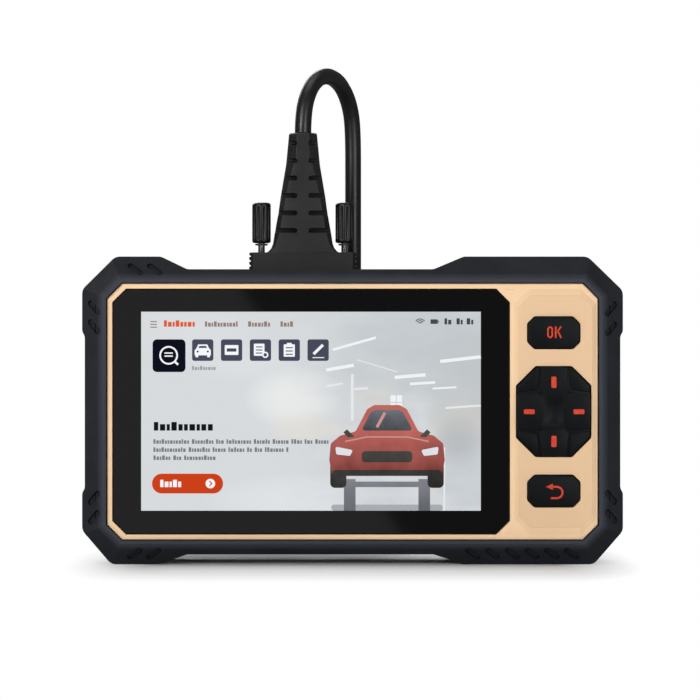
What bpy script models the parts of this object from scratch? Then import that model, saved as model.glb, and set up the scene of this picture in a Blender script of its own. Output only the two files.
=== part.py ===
"""A handheld OBD-II code reader, standing on its lower edge, with its diagnostic lead plugged in on top.

The reader is a tablet-like case: two plastic shells in a rubber bumper, a metal-coloured bezel
plate, a touch screen on the left and a keypad on the right. A 15-way D-sub plug with two thumb
screws sits in the top edge. Its lead loops over, hangs down behind the case and ends in a hank
with the 16-way vehicle plug lying beside it.

Frame: +X to the reader's right hand as its screen is read, +Z up, and the screen faces -Y.
The origin is the middle of the footprint, on the surface that the reader stands on.
Every length below is in millimetres.
"""

import math

import bmesh
import bpy
from mathutils import Matrix, Vector

MM = 0.001
GAP = 0.3  # between pieces that touch, so that their meshes stay apart

# Case outline, as (x, z)
BUMP_HALF_WIDTH = 107.0
SIDE_HALF_WIDTH = 105.9
HEIGHT = 121.8
MID_TOP = 116.7
MID_BOTTOM = 4.1
MID_Z = 60.5  # height of the middle of the face
Y_FRONT = -18.8
Y_BACK = 19.6

# Bezel plate, an octagon with 45 degree corners
BEZEL_W, BEZEL_H, BEZEL_CUT = 193.7, 101.0, 6.0
BEZEL_FRONT, BEZEL_BACK = -17.5, -15.9
PLATFORM_FRONT = -18.5

# Shells under the bumper
SHELL_W, SHELL_H, SHELL_CUT = 203.0, 105.8, 11.0
SHELL_WALL = 2.2
FRONT_FACE = -15.6
SEAM = 0.15
REAR_FACE = 16.5
REAR_PANEL = 18.2
BACK_LIP = 3.5  # how far the bumper laps over the rear shell

LIP = 1.6  # flat rim of the bumper round the bezel
SLOPE = 0.55  # fall of the bumper's face for each millimetre outwards

# Screen
GLASS_W, GLASS_H, GLASS_CUT = 156.3, 96.4, 5.2
GLASS_X = -16.35
GLASS_FRONT, GLASS_BACK = -17.3, -15.8
LCD_W, LCD_H = 142.0, 84.0
LCD_X = -16.4
LCD_FRONT, LCD_BACK = -15.4, -12.4

# Keypad
KEY_X = 79.3
OK_Z, BACK_Z = 91.6, 29.2
KEY_W, KEY_H, KEY_CUT = 20.2, 12.2, 2.6
KEY_FRONT = -19.6
DPAD_W, DPAD_H = 28.9, 35.1
DPAD_CUT_X, DPAD_CUT_Z = 7.45, 7.4
DPAD_PIVOT_Y = -13.0
KEY_CLEARANCE = 0.45
KEY_FLANGE = 1.3
FLANGE_FRONT, FLANGE_BACK = -13.1, -12.1
PLUNGER_END = -10.9
SWITCH_TOP, SWITCH_FOOT = -9.6, -7.7
KEYBOARD_FRONT, KEYBOARD_BACK = -7.4, -6.2
BOARD_FRONT, BOARD_BACK = -3.4, -1.8

# D-sub port and plug, in the top edge
PORT_X = -19.8
SCREW_HALF_PITCH = 16.66
HOOD_W, HOOD_D = 42.8, 15.6
HOOD_BOTTOM, HOOD_TOP = 114.0, 123.7
BOOT_TOP = 171.5
SOCKET_FLANGE = 107.9
FLANGE_W, FLANGE_D = 39.2, 12.5
KNOB_R = 3.83
KNOB_BOTTOM, KNOB_TOP = 127.6, 143.8
USB_X = 12.0
POWER_X = 58.0

# Lead, hank and vehicle plug
CORD_D = 6.5
LEAD_POINTS = [
    (-19.8, 0.0, 172.0),
    (-19.7, 0.2, 177.5),
    (-18.5, 2.6, 185.7),
    (-14.8, 9.8, 193.0),
    (-9.8, 19.6, 195.7),
    (-4.8, 29.4, 193.0),
    (-1.2, 36.6, 185.7),
    (0.1, 39.2, 175.7),
    (0.1, 39.2, 150.0),
    (0.1, 39.6, 120.0),
    (0.1, 40.5, 90.0),
    (0.1, 42.0, 60.0),
    (0.0, 43.8, 38.0),
    (-1.6, 44.8, 28.0),
    (-5.2, 45.5, 20.4),
    (-7.8, 45.7, 17.8),
]
TAIL_POINTS = [
    (12.2, 91.0, 11.4),
    (16.0, 90.8, 11.5),
    (21.0, 89.2, 11.9),
    (26.0, 87.5, 12.2),
    (30.0, 87.0, 12.3),
    (35.6, 87.0, 12.3),
]
HANK_X, HANK_Y, HANK_BOTTOM = -39.0, 65.5, 1.3
HANK_HALF_RUN = 31.75
HANK_LOOP_R = 3.5 * CORD_D
BUNDLE = 13.4
TIE_X = (-52.0, -26.0)
PLUG_Y, PLUG_Z = 87.0, 12.3
RELIEF_X, BODY_X, MOUTH_X, TIP_X = 36.0, 60.0, 84.0, 104.0
PLUG_W, PLUG_H = 45.0, 24.0

# Where the screws go, as (x, z)
CASE_SCREWS = [(-91.5, 18.5), (-5.0, 14.6), (91.5, 18.5), (-91.5, 102.5), (30.0, 106.4), (91.5, 102.5)]
BOARD_SCREWS = [(-60.0, 13.2), (50.0, 13.2), (-60.0, 105.2), (46.0, 105.2)]

HEAD_SEAT = 13.4  # where the case screws' heads bear
SPEAKER = (62.0, 43.0)
LABEL = (-20.0, 44.0)

# Finishes: (red, green, blue), roughness, metallic
RUBBER = ((0.022, 0.024, 0.030), 0.62, 0.0)
DARK_PLASTIC = ((0.035, 0.038, 0.045), 0.50, 0.0)
BEZEL_PAINT = ((0.78, 0.58, 0.38), 0.38, 0.25)
GLASS = ((0.010, 0.010, 0.011), 0.06, 0.0)
DISPLAY = ((0.62, 0.65, 0.69), 0.35, 0.0)
KEY_RUBBER = ((0.012, 0.013, 0.015), 0.55, 0.0)
STEEL = ((0.62, 0.62, 0.63), 0.28, 1.0)
BOARD_GREEN = ((0.03, 0.16, 0.07), 0.50, 0.0)
FOIL = ((0.45, 0.47, 0.50), 0.40, 0.6)
MOULDING = ((0.030, 0.030, 0.031), 0.52, 0.0)
WHITE_PLASTIC = ((0.75, 0.75, 0.73), 0.45, 0.0)
FOAM = ((0.05, 0.05, 0.05), 0.90, 0.0)


# ---------------------------------------------------------------- outlines


def octagon(width, height, cut, grow=0.0, centre=(0.0, 0.0), cut_v=None):
    """A rectangle with cut corners, grown outwards by grow, as eight (u, v) points."""
    cut_v = cut if cut_v is None else cut_v
    a, b = width / 2 + grow, height / 2 + grow
    keep = 2 - math.sqrt(2)
    c, d = cut + keep * grow, cut_v + keep * grow
    corners = [
        (a, -b + d), (a, b - d), (a - c, b), (-a + c, b),
        (-a, b - d), (-a, -b + d), (-a + c, -b), (a - c, -b),
    ]
    return [(centre[0] + u, centre[1] + v) for u, v in corners]


def rectangle(width, height, centre=(0.0, 0.0)):
    a, b = width / 2, height / 2
    return [(centre[0] + u, centre[1] + v) for u, v in ((-a, -b), (a, -b), (a, b), (-a, b))]


def rounded(corners, radius, steps=3):
    """The same outline with an arc of that radius at each corner."""
    out = []
    for i, corner in enumerate(corners):
        here = Vector(corner)
        back = Vector(corners[i - 1]) - here
        ahead = Vector(corners[(i + 1) % len(corners)]) - here
        half = back.angle(ahead) / 2
        reach = min(radius / math.tan(half), 0.49 * min(back.length, ahead.length))
        r = reach * math.tan(half)
        middle = here + (back.normalized() + ahead.normalized()).normalized() * (r / math.sin(half))
        first = (here + back.normalized() * reach - middle).normalized()
        last = (here + ahead.normalized() * reach - middle).normalized()
        out += [tuple(middle + first.slerp(last, k / steps) * r) for k in range(steps + 1)]
    return out


def rounded_box(width, height, radius, centre=(0.0, 0.0), steps=3):
    return rounded(rectangle(width, height, centre), radius, steps)


def circle(radius, centre=(0.0, 0.0), sides=20):
    turns = [2 * math.pi * i / sides for i in range(sides)]
    return [(centre[0] + radius * math.cos(t), centre[1] + radius * math.sin(t)) for t in turns]


def d_shape(width, height, taper, centre, radius=1.4):
    """The D outline of a D-sub shell, wider on its +v side."""
    a, b = width / 2, height / 2
    corners = [(-a + taper, -b), (a - taper, -b), (a, b), (-a, b)]
    return rounded([(centre[0] + u, centre[1] + v) for u, v in corners], radius)


def stadium(half_run, radius, centre, sides=12):
    """An oval of two half circles joined by straight runs along u."""
    out = []
    for side in (1, -1):
        for k in range(sides + 1):
            t = side * math.pi / 2 - math.pi * k / sides
            out.append((centre[0] + side * half_run + radius * math.cos(t), centre[1] + radius * math.sin(t)))
    return out


# ---------------------------------------------------------------- solids

# Each matrix takes (u, v, level) to (x, y, z): outlines lie across the named axis.
ALONG = {
    "X": Matrix(((0, 0, 1), (1, 0, 0), (0, 1, 0))),
    "Y": Matrix(((1, 0, 0), (0, 0, 1), (0, 1, 0))),
    "Z": Matrix(((1, 0, 0), (0, 1, 0), (0, 0, 1))),
}


def add_loft(mesh, sections, axis, ring=False, frame=None):
    """Skins the (outline, level) sections in order. A ring joins its last section to its first."""
    turn = ALONG[axis] if frame is None else frame[0]
    shift = Vector((0, 0, 0)) if frame is None else frame[1]
    loops = [
        [mesh.verts.new((turn @ Vector((u, v, level)) + shift)) for u, v in outline]
        for outline, level in sections
    ]
    pairs = list(zip(loops, loops[1:]))
    if ring:
        pairs.append((loops[-1], loops[0]))
    for lower, upper in pairs:
        for i in range(len(lower)):
            j = (i + 1) % len(lower)
            mesh.faces.new((lower[i], lower[j], upper[j], upper[i]))
    if not ring:
        mesh.faces.new(loops[0])
        mesh.faces.new(loops[-1])


def finish(obj, look):
    """Gives the object its own Principled material."""
    colour, roughness, metallic = look
    material = bpy.data.materials.new(obj.name + "_finish")
    material.use_nodes = True
    shader = material.node_tree.nodes["Principled BSDF"]
    shader.inputs["Base Color"].default_value = (*colour, 1.0)
    shader.inputs["Roughness"].default_value = roughness
    shader.inputs["Metallic"].default_value = metallic
    obj.data.materials.append(material)


def solid(name, lofts, look, origin=(0.0, 0.0, 0.0)):
    """One object from a list of lofts, each (sections, axis) or (sections, axis, ring)."""
    work = bmesh.new()
    for entry in lofts:
        add_loft(work, *entry)
    bmesh.ops.recalc_face_normals(work, faces=work.faces)
    bmesh.ops.translate(work, verts=work.verts, vec=-Vector(origin))
    bmesh.ops.scale(work, verts=work.verts, vec=(MM, MM, MM))
    mesh = bpy.data.meshes.new(name)
    work.to_mesh(mesh)
    work.free()
    mesh.shade_smooth()
    mesh.set_sharp_from_angle(angle=math.radians(32))
    obj = bpy.data.objects.new(name, mesh)
    obj.location = Vector(origin) * MM
    bpy.context.scene.collection.objects.link(obj)
    if look is not None:
        finish(obj, look)
    return obj


def block(x, y, z):
    """A box between two values on each axis, as a loft."""
    outline = rectangle(x[1] - x[0], y[1] - y[0], ((x[0] + x[1]) / 2, (y[0] + y[1]) / 2))
    return ([(outline, z[0]), (outline, z[1])], "Z")


def post(radius, ends, axis, centre, sides=16):
    """A round bar between two levels, as a loft."""
    return ([(circle(radius, centre, sides), level) for level in ends], axis)


def turned(profile, axis, centre, sides=20, ring=False):
    """A turned shape from (radius, level) points, as a loft."""
    return ([(circle(r, centre, sides), level) for r, level in profile], axis, ring)


def boolean(target, tool, operation="DIFFERENCE"):
    """Cuts or joins target with a hidden helper object."""
    tool.hide_render = True
    tool.display_type = "WIRE"
    step = target.modifiers.new(tool.name, "BOOLEAN")
    step.operation = operation
    step.solver = "EXACT"
    step.object = tool


def cut(target, name, lofts):
    boolean(target, solid(name, lofts, None))


def join(target, name, lofts):
    boolean(target, solid(name, lofts, None), "UNION")


# ---------------------------------------------------------------- case


def shell_outline(grow=0.0):
    return octagon(SHELL_W, SHELL_H, SHELL_CUT, grow, (0.0, MID_Z))


def bezel_outline(grow=0.0):
    return octagon(BEZEL_W, BEZEL_H, BEZEL_CUT, grow, (0.0, MID_Z))


def glass_outline(grow=0.0):
    return octagon(GLASS_W, GLASS_H, GLASS_CUT, grow, (GLASS_X, MID_Z))


def key_outline(z, grow=0.0):
    return rounded(octagon(KEY_W, KEY_H, KEY_CUT, grow, (KEY_X, z)), 1.3 + grow, 2)


def dpad_outline(grow=0.0):
    outline = octagon(DPAD_W, DPAD_H, DPAD_CUT_X, grow, (KEY_X, MID_Z), DPAD_CUT_Z)
    return rounded(outline, 1.2, 2)


def silhouette():
    """The bumper seen from the front: raised corners joined by lower edges."""
    b, s = BUMP_HALF_WIDTH, SIDE_HALF_WIDTH
    corners = [
        (-95.5, 0.0), (-76.5, 0.0), (-65.3, MID_BOTTOM), (32.0, MID_BOTTOM), (44.0, 0.0), (95.5, 0.0),
        (b, 13.3), (b, 28.4), (s, 30.0), (s, 90.4), (b, 92.0), (b, 108.2),
        (93.0, HEIGHT), (44.0, HEIGHT), (32.0, MID_TOP), (-65.3, MID_TOP), (-75.8, HEIGHT), (-93.8, HEIGHT),
        (-b, 108.7), (-b, 92.0), (-s, 90.4), (-s, 30.0), (-b, 28.4), (-b, 13.5),
    ]
    return rounded(corners, 4.0, 3)


def grip_slots():
    """Slanted oval slots pressed into the bumper's corners, as lofts square to its sloping face."""
    depth, length, width = 1.1, 7.4, 2.6
    outline = stadium((length - width) / 2, width / 2, (0.0, 0.0), 5)
    tilt = math.atan(SLOPE)
    rim_z, rim_x = BEZEL_H / 2 + LIP, BEZEL_W / 2 + LIP
    slots = [(x, MID_Z + s * 56.1, -s * 40) for x, s in ((-85.8, 1), (-78.2, 1), (-86.0, -1), (-78.4, -1))]
    slots += [(47.5 + 7.8 * i, MID_Z - 56.1, -40) for i in range(6)]
    sides = [(-102.0, 101.6, -45), (-102.0, 94.0, -45), (102.0, 101.0, 45), (102.0, 93.2, 45)]
    sides += [(-102.0, 26.4, 45), (-102.0, 18.8, 45), (102.0, 26.6, -45), (102.0, 19.2, -45)]
    lofts = []
    for x, z, slant in slots + sides:
        on_side = abs(x) > 95
        out = abs(x) - rim_x if on_side else abs(z - MID_Z) - rim_z
        centre = Vector((x, Y_FRONT + SLOPE * out, z))
        if on_side:
            lean = Matrix.Rotation(math.copysign(tilt, x), 3, "Z")
        else:
            lean = Matrix.Rotation(-math.copysign(tilt, z - MID_Z), 3, "X")
        turn = lean @ ALONG["Y"] @ Matrix.Rotation(math.radians(slant), 3, "Z")
        lofts.append(([(outline, -depth), (outline, depth)], "Y", False, (turn, centre)))
    return lofts


def make_bumper():
    frame = solid("bumper_frame", [([(silhouette(), Y_FRONT), (silhouette(), Y_BACK)], "Y")], RUBBER)
    reach = 20.0
    frustum = [
        (bezel_outline(LIP), Y_FRONT),
        (bezel_outline(LIP + reach), Y_FRONT + SLOPE * reach),
        (bezel_outline(LIP + reach), Y_BACK - SLOPE * reach),
        (bezel_outline(LIP), Y_BACK),
    ]
    boolean(frame, solid("bumper_slopes", [(frustum, "Y")], None), "INTERSECT")
    pocket = [
        (bezel_outline(0.35), Y_FRONT - 2),
        (bezel_outline(0.35), BEZEL_BACK),
        (shell_outline(GAP), BEZEL_BACK),
        (shell_outline(GAP), REAR_FACE + GAP),
        (shell_outline(-BACK_LIP), REAR_FACE + GAP),
        (shell_outline(-BACK_LIP), Y_BACK + 2),
    ]
    cut(frame, "bumper_pocket", [(pocket, "Y")])
    cut(frame, "bumper_port", [block((PORT_X - 22.4, PORT_X + 22.4), (-8.8, 8.8), (110.0, 125.0))])
    port = [(rounded_box(14.0, 8.0, 2.5, (USB_X, 0.0)), z) for z in (110.0, 125.0)]
    power = [(rounded_box(13.0, 6.4, 3.0, (POWER_X, 0.0)), z) for z in (110.0, 125.0)]
    cut(frame, "bumper_holes", [(port, "Z"), (power, "Z")])
    cut(frame, "bumper_slots", grip_slots())
    cut(frame, "bumper_seams", side_grooves())


def side_grooves():
    """Four shallow grooves round the bumper's sides, which split its depth into bands."""
    lofts = []
    for side in (-1, 1):
        for y in (-6.0, 7.0):
            x = side * SIDE_HALF_WIDTH
            lofts.append(block(sorted((x - side * 0.7, x + side * 3)), (y, y + 1.4), (36.0, 84.5)))
    return lofts


def make_front_shell():
    inner = shell_outline(-SHELL_WALL)
    cup = [
        (shell_outline(), FRONT_FACE),
        (shell_outline(), -SEAM),
        (inner, -SEAM),
        (inner, FRONT_FACE + SHELL_WALL),
    ]
    shell = solid("front_housing", [(cup, "Y")], DARK_PLASTIC)
    bosses = [post(2.9, (-14.5, -SEAM), "Y", place, 12) for place in CASE_SCREWS]
    bosses += [post(2.4, (-14.5, BOARD_FRONT - GAP), "Y", place, 12) for place in BOARD_SCREWS]
    join(shell, "front_bosses", bosses)
    pilots = [post(1.6, (-12.0, 2.0), "Y", place, 10) for place in CASE_SCREWS]
    pilots += [post(1.3, (-10.0, 0.0), "Y", place, 10) for place in BOARD_SCREWS]
    cut(shell, "front_pilots", pilots)
    cut(shell, "glass_pocket", [([(glass_outline(0.4), -18.0), (glass_outline(0.4), -14.6)], "Y")])
    window = [(rectangle(LCD_W + 1, LCD_H + 1, (LCD_X, MID_Z)), y) for y in (-18.0, -12.0)]
    cut(shell, "lcd_window", [(window, "Y")])
    cut(shell, "front_key_holes", key_holes(-18.0, -12.0))
    cut(shell, "front_port", port_cuts())


def key_holes(y0, y1):
    grow = KEY_CLEARANCE
    shapes = [key_outline(OK_Z, grow), key_outline(BACK_Z, grow), dpad_outline(grow)]
    return [([(shape, y0), (shape, y1)], "Y") for shape in shapes]


def port_cuts():
    """Openings in the shells' top walls for the D-sub, the USB socket and the power key."""
    return [
        block((PORT_X - 20.4, PORT_X + 20.4), (-7.4, 7.4), (105.0, 116.0)),
        block((USB_X - 4.9, USB_X + 4.9), (-2.1, 2.1), (105.0, 116.0)),
        block((POWER_X - 5.0, POWER_X + 5.0), (-2.2, 2.2), (105.0, 116.0)),
    ]


def make_rear_shell():
    inner = shell_outline(-SHELL_WALL)
    panel = [
        (shell_outline(-BACK_LIP - 0.8), REAR_FACE),
        (shell_outline(-BACK_LIP - 2.4), REAR_PANEL),
    ]
    cup = [(inner, REAR_FACE - SHELL_WALL), (inner, SEAM), (shell_outline(), SEAM), (shell_outline(), REAR_FACE)]
    shell = solid("rear_housing", [(cup + panel, "Y")], DARK_PLASTIC)
    join(shell, "rear_bosses", [post(4.2, (SEAM, 15.5), "Y", place, 12) for place in CASE_SCREWS])
    counterbore = [(1.7, -2.0), (1.7, HEAD_SEAT), (3.1, HEAD_SEAT), (3.1, Y_BACK)]
    cut(shell, "rear_screw_holes", [turned(counterbore, "Y", place, 12) for place in CASE_SCREWS])
    slots = [rounded_box(20.0, 1.8, 0.85, (SPEAKER[0], SPEAKER[1] - 9.0 + 3.6 * i), 2) for i in range(6)]
    cut(shell, "speaker_grille", [([(slot, 13.0), (slot, Y_BACK)], "Y") for slot in slots])
    label = rounded_box(78.6, 34.6, 2.0, LABEL)
    cut(shell, "label_recess", [([(label, REAR_PANEL - 0.7), (label, Y_BACK)], "Y")])
    grooves = [rounded_box(120.0, 2.2, 1.0, (0.0, 76.0 + 5.5 * i), 2) for i in range(4)]
    cut(shell, "grip_grooves", [([(groove, REAR_PANEL - 0.7), (groove, Y_BACK)], "Y") for groove in grooves])
    cut(shell, "rear_port", port_cuts())


# ---------------------------------------------------------------- face


def make_bezel():
    plate = [(bezel_outline(), BEZEL_BACK), (bezel_outline(), BEZEL_FRONT + 0.3), (bezel_outline(-0.3), BEZEL_FRONT)]
    bezel = solid("bezel_plate", [(plate, "Y")], BEZEL_PAINT)
    centre = (80.0, MID_Z)
    base = octagon(32.0, 96.8, 6.0, 0.0, centre)
    raised = [(base, BEZEL_BACK - 0.4), (base, BEZEL_FRONT), (octagon(29.0, 91.2, 4.6, 0.0, centre), PLATFORM_FRONT)]
    join(bezel, "key_panel", [(raised, "Y")])
    window = glass_outline(0.35)
    cut(bezel, "bezel_window", [([(window, -20.0), (window, -14.0)], "Y")])
    cut(bezel, "bezel_key_holes", key_holes(-20.0, -14.0))


def make_display():
    pane = [(glass_outline(), GLASS_BACK), (glass_outline(), GLASS_FRONT + 0.2), (glass_outline(-0.2), GLASS_FRONT)]
    solid("cover_glass", [(pane, "Y")], GLASS)
    seal = solid("glass_gasket", [([(glass_outline(-0.6), -15.5), (glass_outline(-0.6), -14.9)], "Y")], FOAM)
    inside = rectangle(LCD_W + 3.0, LCD_H + 3.0, (LCD_X, MID_Z))
    cut(seal, "gasket_window", [([(inside, -17.0), (inside, -13.0)], "Y")])
    panel = rectangle(LCD_W, LCD_H, (LCD_X, MID_Z))
    solid("lcd_panel", [([(panel, LCD_FRONT), (panel, LCD_BACK)], "Y")], DISPLAY)
    lamp = rectangle(LCD_W + 1.0, LCD_H, (LCD_X, MID_Z))
    solid("lcd_backlight", [([(lamp, LCD_BACK + GAP), (lamp, -9.6)], "Y")], WHITE_PLASTIC)
    bracket = solid("lcd_bracket", [([(lamp, -9.3), (lamp, -8.5)], "Y")], STEEL)
    opening = rectangle(112.0, 58.0, (LCD_X, MID_Z))
    cut(bracket, "bracket_window", [([(opening, -10.0), (opening, -8.0)], "Y")])


def make_key(name, z):
    sections = [
        (key_outline(z, -0.7), KEY_FRONT),
        (key_outline(z), KEY_FRONT + 0.7),
        (key_outline(z), FLANGE_FRONT),
        (key_outline(z, KEY_FLANGE), FLANGE_FRONT),
        (key_outline(z, KEY_FLANGE), FLANGE_BACK),
    ]
    key = solid(name, [(sections, "Y")], KEY_RUBBER, (KEY_X, KEY_FRONT, z))
    join(key, name + "_plunger", [post(1.6, (FLANGE_BACK - 0.6, PLUNGER_END), "Y", (KEY_X, z), 10)])


def make_dpad():
    flange_front, flange_back = -12.0, -11.2
    sections = [
        (dpad_outline(-0.6), KEY_FRONT),
        (dpad_outline(), KEY_FRONT + 0.6),
        (dpad_outline(), flange_front),
        (dpad_outline(KEY_FLANGE), flange_front),
        (dpad_outline(KEY_FLANGE), flange_back),
    ]
    pad = solid("dpad", [(sections, "Y")], KEY_RUBBER, (KEY_X, DPAD_PIVOT_Y, MID_Z))
    corners = []
    for sx in (-1, 1):
        for sz in (-1, 1):
            x, z = KEY_X + sx * 5.8, MID_Z + sz * 7.2
            span_x = sorted((x, x + sx * 12))
            span_z = sorted((z, z + sz * 14))
            corners.append(block(span_x, (KEY_FRONT - 1, KEY_FRONT + 0.9), span_z))
    cut(pad, "dpad_corners", corners)
    dish = [(1.2, KEY_FRONT + 0.9), (3.6, KEY_FRONT + 0.35), (4.6, KEY_FRONT - 0.3)]
    recess = [(3.6, -13.4), (3.6, -10.0)]
    cut(pad, "dpad_dish", [turned(dish, "Y", (KEY_X, MID_Z), 16), turned(recess, "Y", (KEY_X, MID_Z), 12)])
    join(pad, "dpad_plungers", [post(1.4, (flange_back - 0.5, -10.4), "Y", p, 8) for p in direction_places()])
    rocker = [(1.2, -7.9), (1.2, -11.6), (3.0, -11.6), (3.0, -12.9)]
    centre = (KEY_X, DPAD_PIVOT_Y, MID_Z)
    solid("dpad_rocker", [turned(rocker, "Y", (KEY_X, MID_Z), 12)], WHITE_PLASTIC, centre)


def direction_places():
    """The four contact points under the direction pad: up, down, left, right."""
    reach_x, reach_z = 8.5, 12.5
    return [
        (KEY_X, MID_Z + reach_z), (KEY_X, MID_Z - reach_z), (KEY_X - reach_x, MID_Z), (KEY_X + reach_x, MID_Z),
    ]


def make_power_key():
    place = (POWER_X, 0.0)
    stem = rounded_box(9.0, 3.2, 1.0, place, 2)
    head = rounded_box(12.0, 5.4, 2.5, place, 2)
    tip = rounded_box(11.4, 4.8, 2.2, place, 2)
    collar = rounded_box(12.4, 5.4, 1.4, place, 2)
    sections = [(stem, 108.5), (stem, 109.4), (collar, 109.4), (collar, 110.4), (stem, 110.4)]
    sections += [(stem, 114.6), (head, 114.6), (head, 120.6), (tip, 121.0)]
    solid("power_key", [(sections, "Z")], KEY_RUBBER, (POWER_X, 0.0, 121.0))


def make_switches():
    names = ["ok_switch", "back_switch", "up_switch", "down_switch", "left_switch", "right_switch"]
    places = [(KEY_X, OK_Z), (KEY_X, BACK_Z)] + direction_places()
    for name, place in zip(names, places):
        body, cap = rectangle(3.6, 3.6, place), rectangle(1.8, 1.8, place)
        sections = [(body, SWITCH_FOOT), (body, -9.0), (cap, -9.0), (cap, SWITCH_TOP)]
        solid(name, [(sections, "Y")], WHITE_PLASTIC)
    body, cap = rectangle(5.0, 2.4, (POWER_X, -0.2)), rectangle(2.2, 1.2, (POWER_X, -0.2))
    sections = [(body, 103.6), (body, 106.4), (cap, 106.4), (cap, 107.4)]
    solid("power_switch", [(sections, "Z")], WHITE_PLASTIC)


# ---------------------------------------------------------------- inside


def make_boards():
    outline = [(-88.0, 11.0), (88.0, 11.0), (88.0, 108.2), (-88.0, 108.2)]
    board = solid("main_board", [([(outline, BOARD_FRONT), (outline, BOARD_BACK)], "Y")], BOARD_GREEN)
    around = [post(3.5, (-5.0, 0.0), "Y", place, 12) for place in (CASE_SCREWS[1], CASE_SCREWS[4])]
    around += [post(1.4, (-5.0, 0.0), "Y", place, 10) for place in BOARD_SCREWS]
    around.append(block((PORT_X - 20.5, PORT_X + 20.5), (-5.0, 0.0), (97.5, 112.0)))
    cut(board, "board_holes", around)
    keys = rectangle(31.0, 77.0, (79.5, MID_Z))
    solid("keypad_board", [([(keys, KEYBOARD_FRONT), (keys, KEYBOARD_BACK)], "Y")], BOARD_GREEN)
    header = rectangle(22.0, 2.6, (76.0, MID_Z))
    solid("board_connector", [([(header, -5.9), (header, -3.7)], "Y")], WHITE_PLASTIC)
    pack = [rounded_box(100.0 - 2 * c, 56.0 - 2 * c, 3.0, (-25.0, 52.0)) for c in (1.0, 0.0, 0.0, 1.0)]
    levels = [4.2, 5.2, 13.0, 14.0]
    solid("battery", [(list(zip(pack, levels)), "Y")], FOIL)
    cone = [(9.0, 8.6), (13.0, 10.2), (13.0, 14.0)]
    solid("speaker", [turned(cone, "Y", SPEAKER, 24)], MOULDING)
    plate = rounded_box(78.0, 34.0, 1.8, LABEL)
    levels = (REAR_PANEL - 0.4, REAR_PANEL - 0.05)
    solid("rating_plate", [([(plate, level) for level in levels], "Y")], FOIL)


def make_screws():
    for i, place in enumerate(CASE_SCREWS):
        head = HEAD_SEAT + GAP
        profile = [(1.25, -11.7), (1.25, head), (2.7, head), (2.7, head + 1.3), (1.9, head + 2.0)]
        solid(f"case_screw_{i + 1}", [turned(profile, "Y", place, 12)], STEEL, (place[0], head, place[1]))
    for i, place in enumerate(BOARD_SCREWS):
        head = BOARD_BACK + GAP
        profile = [(0.95, -9.7), (0.95, head), (2.2, head), (2.2, head + 1.2)]
        solid(f"board_screw_{i + 1}", [turned(profile, "Y", place, 10)], STEEL, (place[0], head, place[1]))


# ---------------------------------------------------------------- port and plug


def screw_places():
    return {"left": (PORT_X - SCREW_HALF_PITCH, 0.0), "right": (PORT_X + SCREW_HALF_PITCH, 0.0)}


def make_ports():
    body, flange = (rounded_box(w, d, 1.2, (PORT_X, 0.0)) for w, d in ((25.0, 9.4), (FLANGE_W, FLANGE_D)))
    tower = d_shape(23.4, 7.2, 1.2, (PORT_X, 0.0))
    sections = [(body, 98.5), (body, SOCKET_FLANGE), (flange, SOCKET_FLANGE), (flange, SOCKET_FLANGE + 1)]
    sections += [(tower, SOCKET_FLANGE + 1), (tower, 111.4)]
    solid("dsub_socket", [(sections, "Z")], STEEL)
    for side, place in screw_places().items():
        profile = [(1.9, 109.2), (2.9, 109.2), (2.9, 112.6), (1.9, 112.6)]
        solid(f"standoff_{side}", [turned(profile, "Z", place, 6, True)], STEEL)
    shell = rounded_box(8.9, 3.1, 1.2, (USB_X, 0.05), 2)
    mouth = rounded_box(8.3, 2.5, 1.0, (USB_X, 0.05), 2)
    sections = [(shell, 103.6), (shell, 112.8), (mouth, 112.8), (mouth, 106.5)]
    solid("usb_socket", [(sections, "Z")], STEEL)


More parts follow.
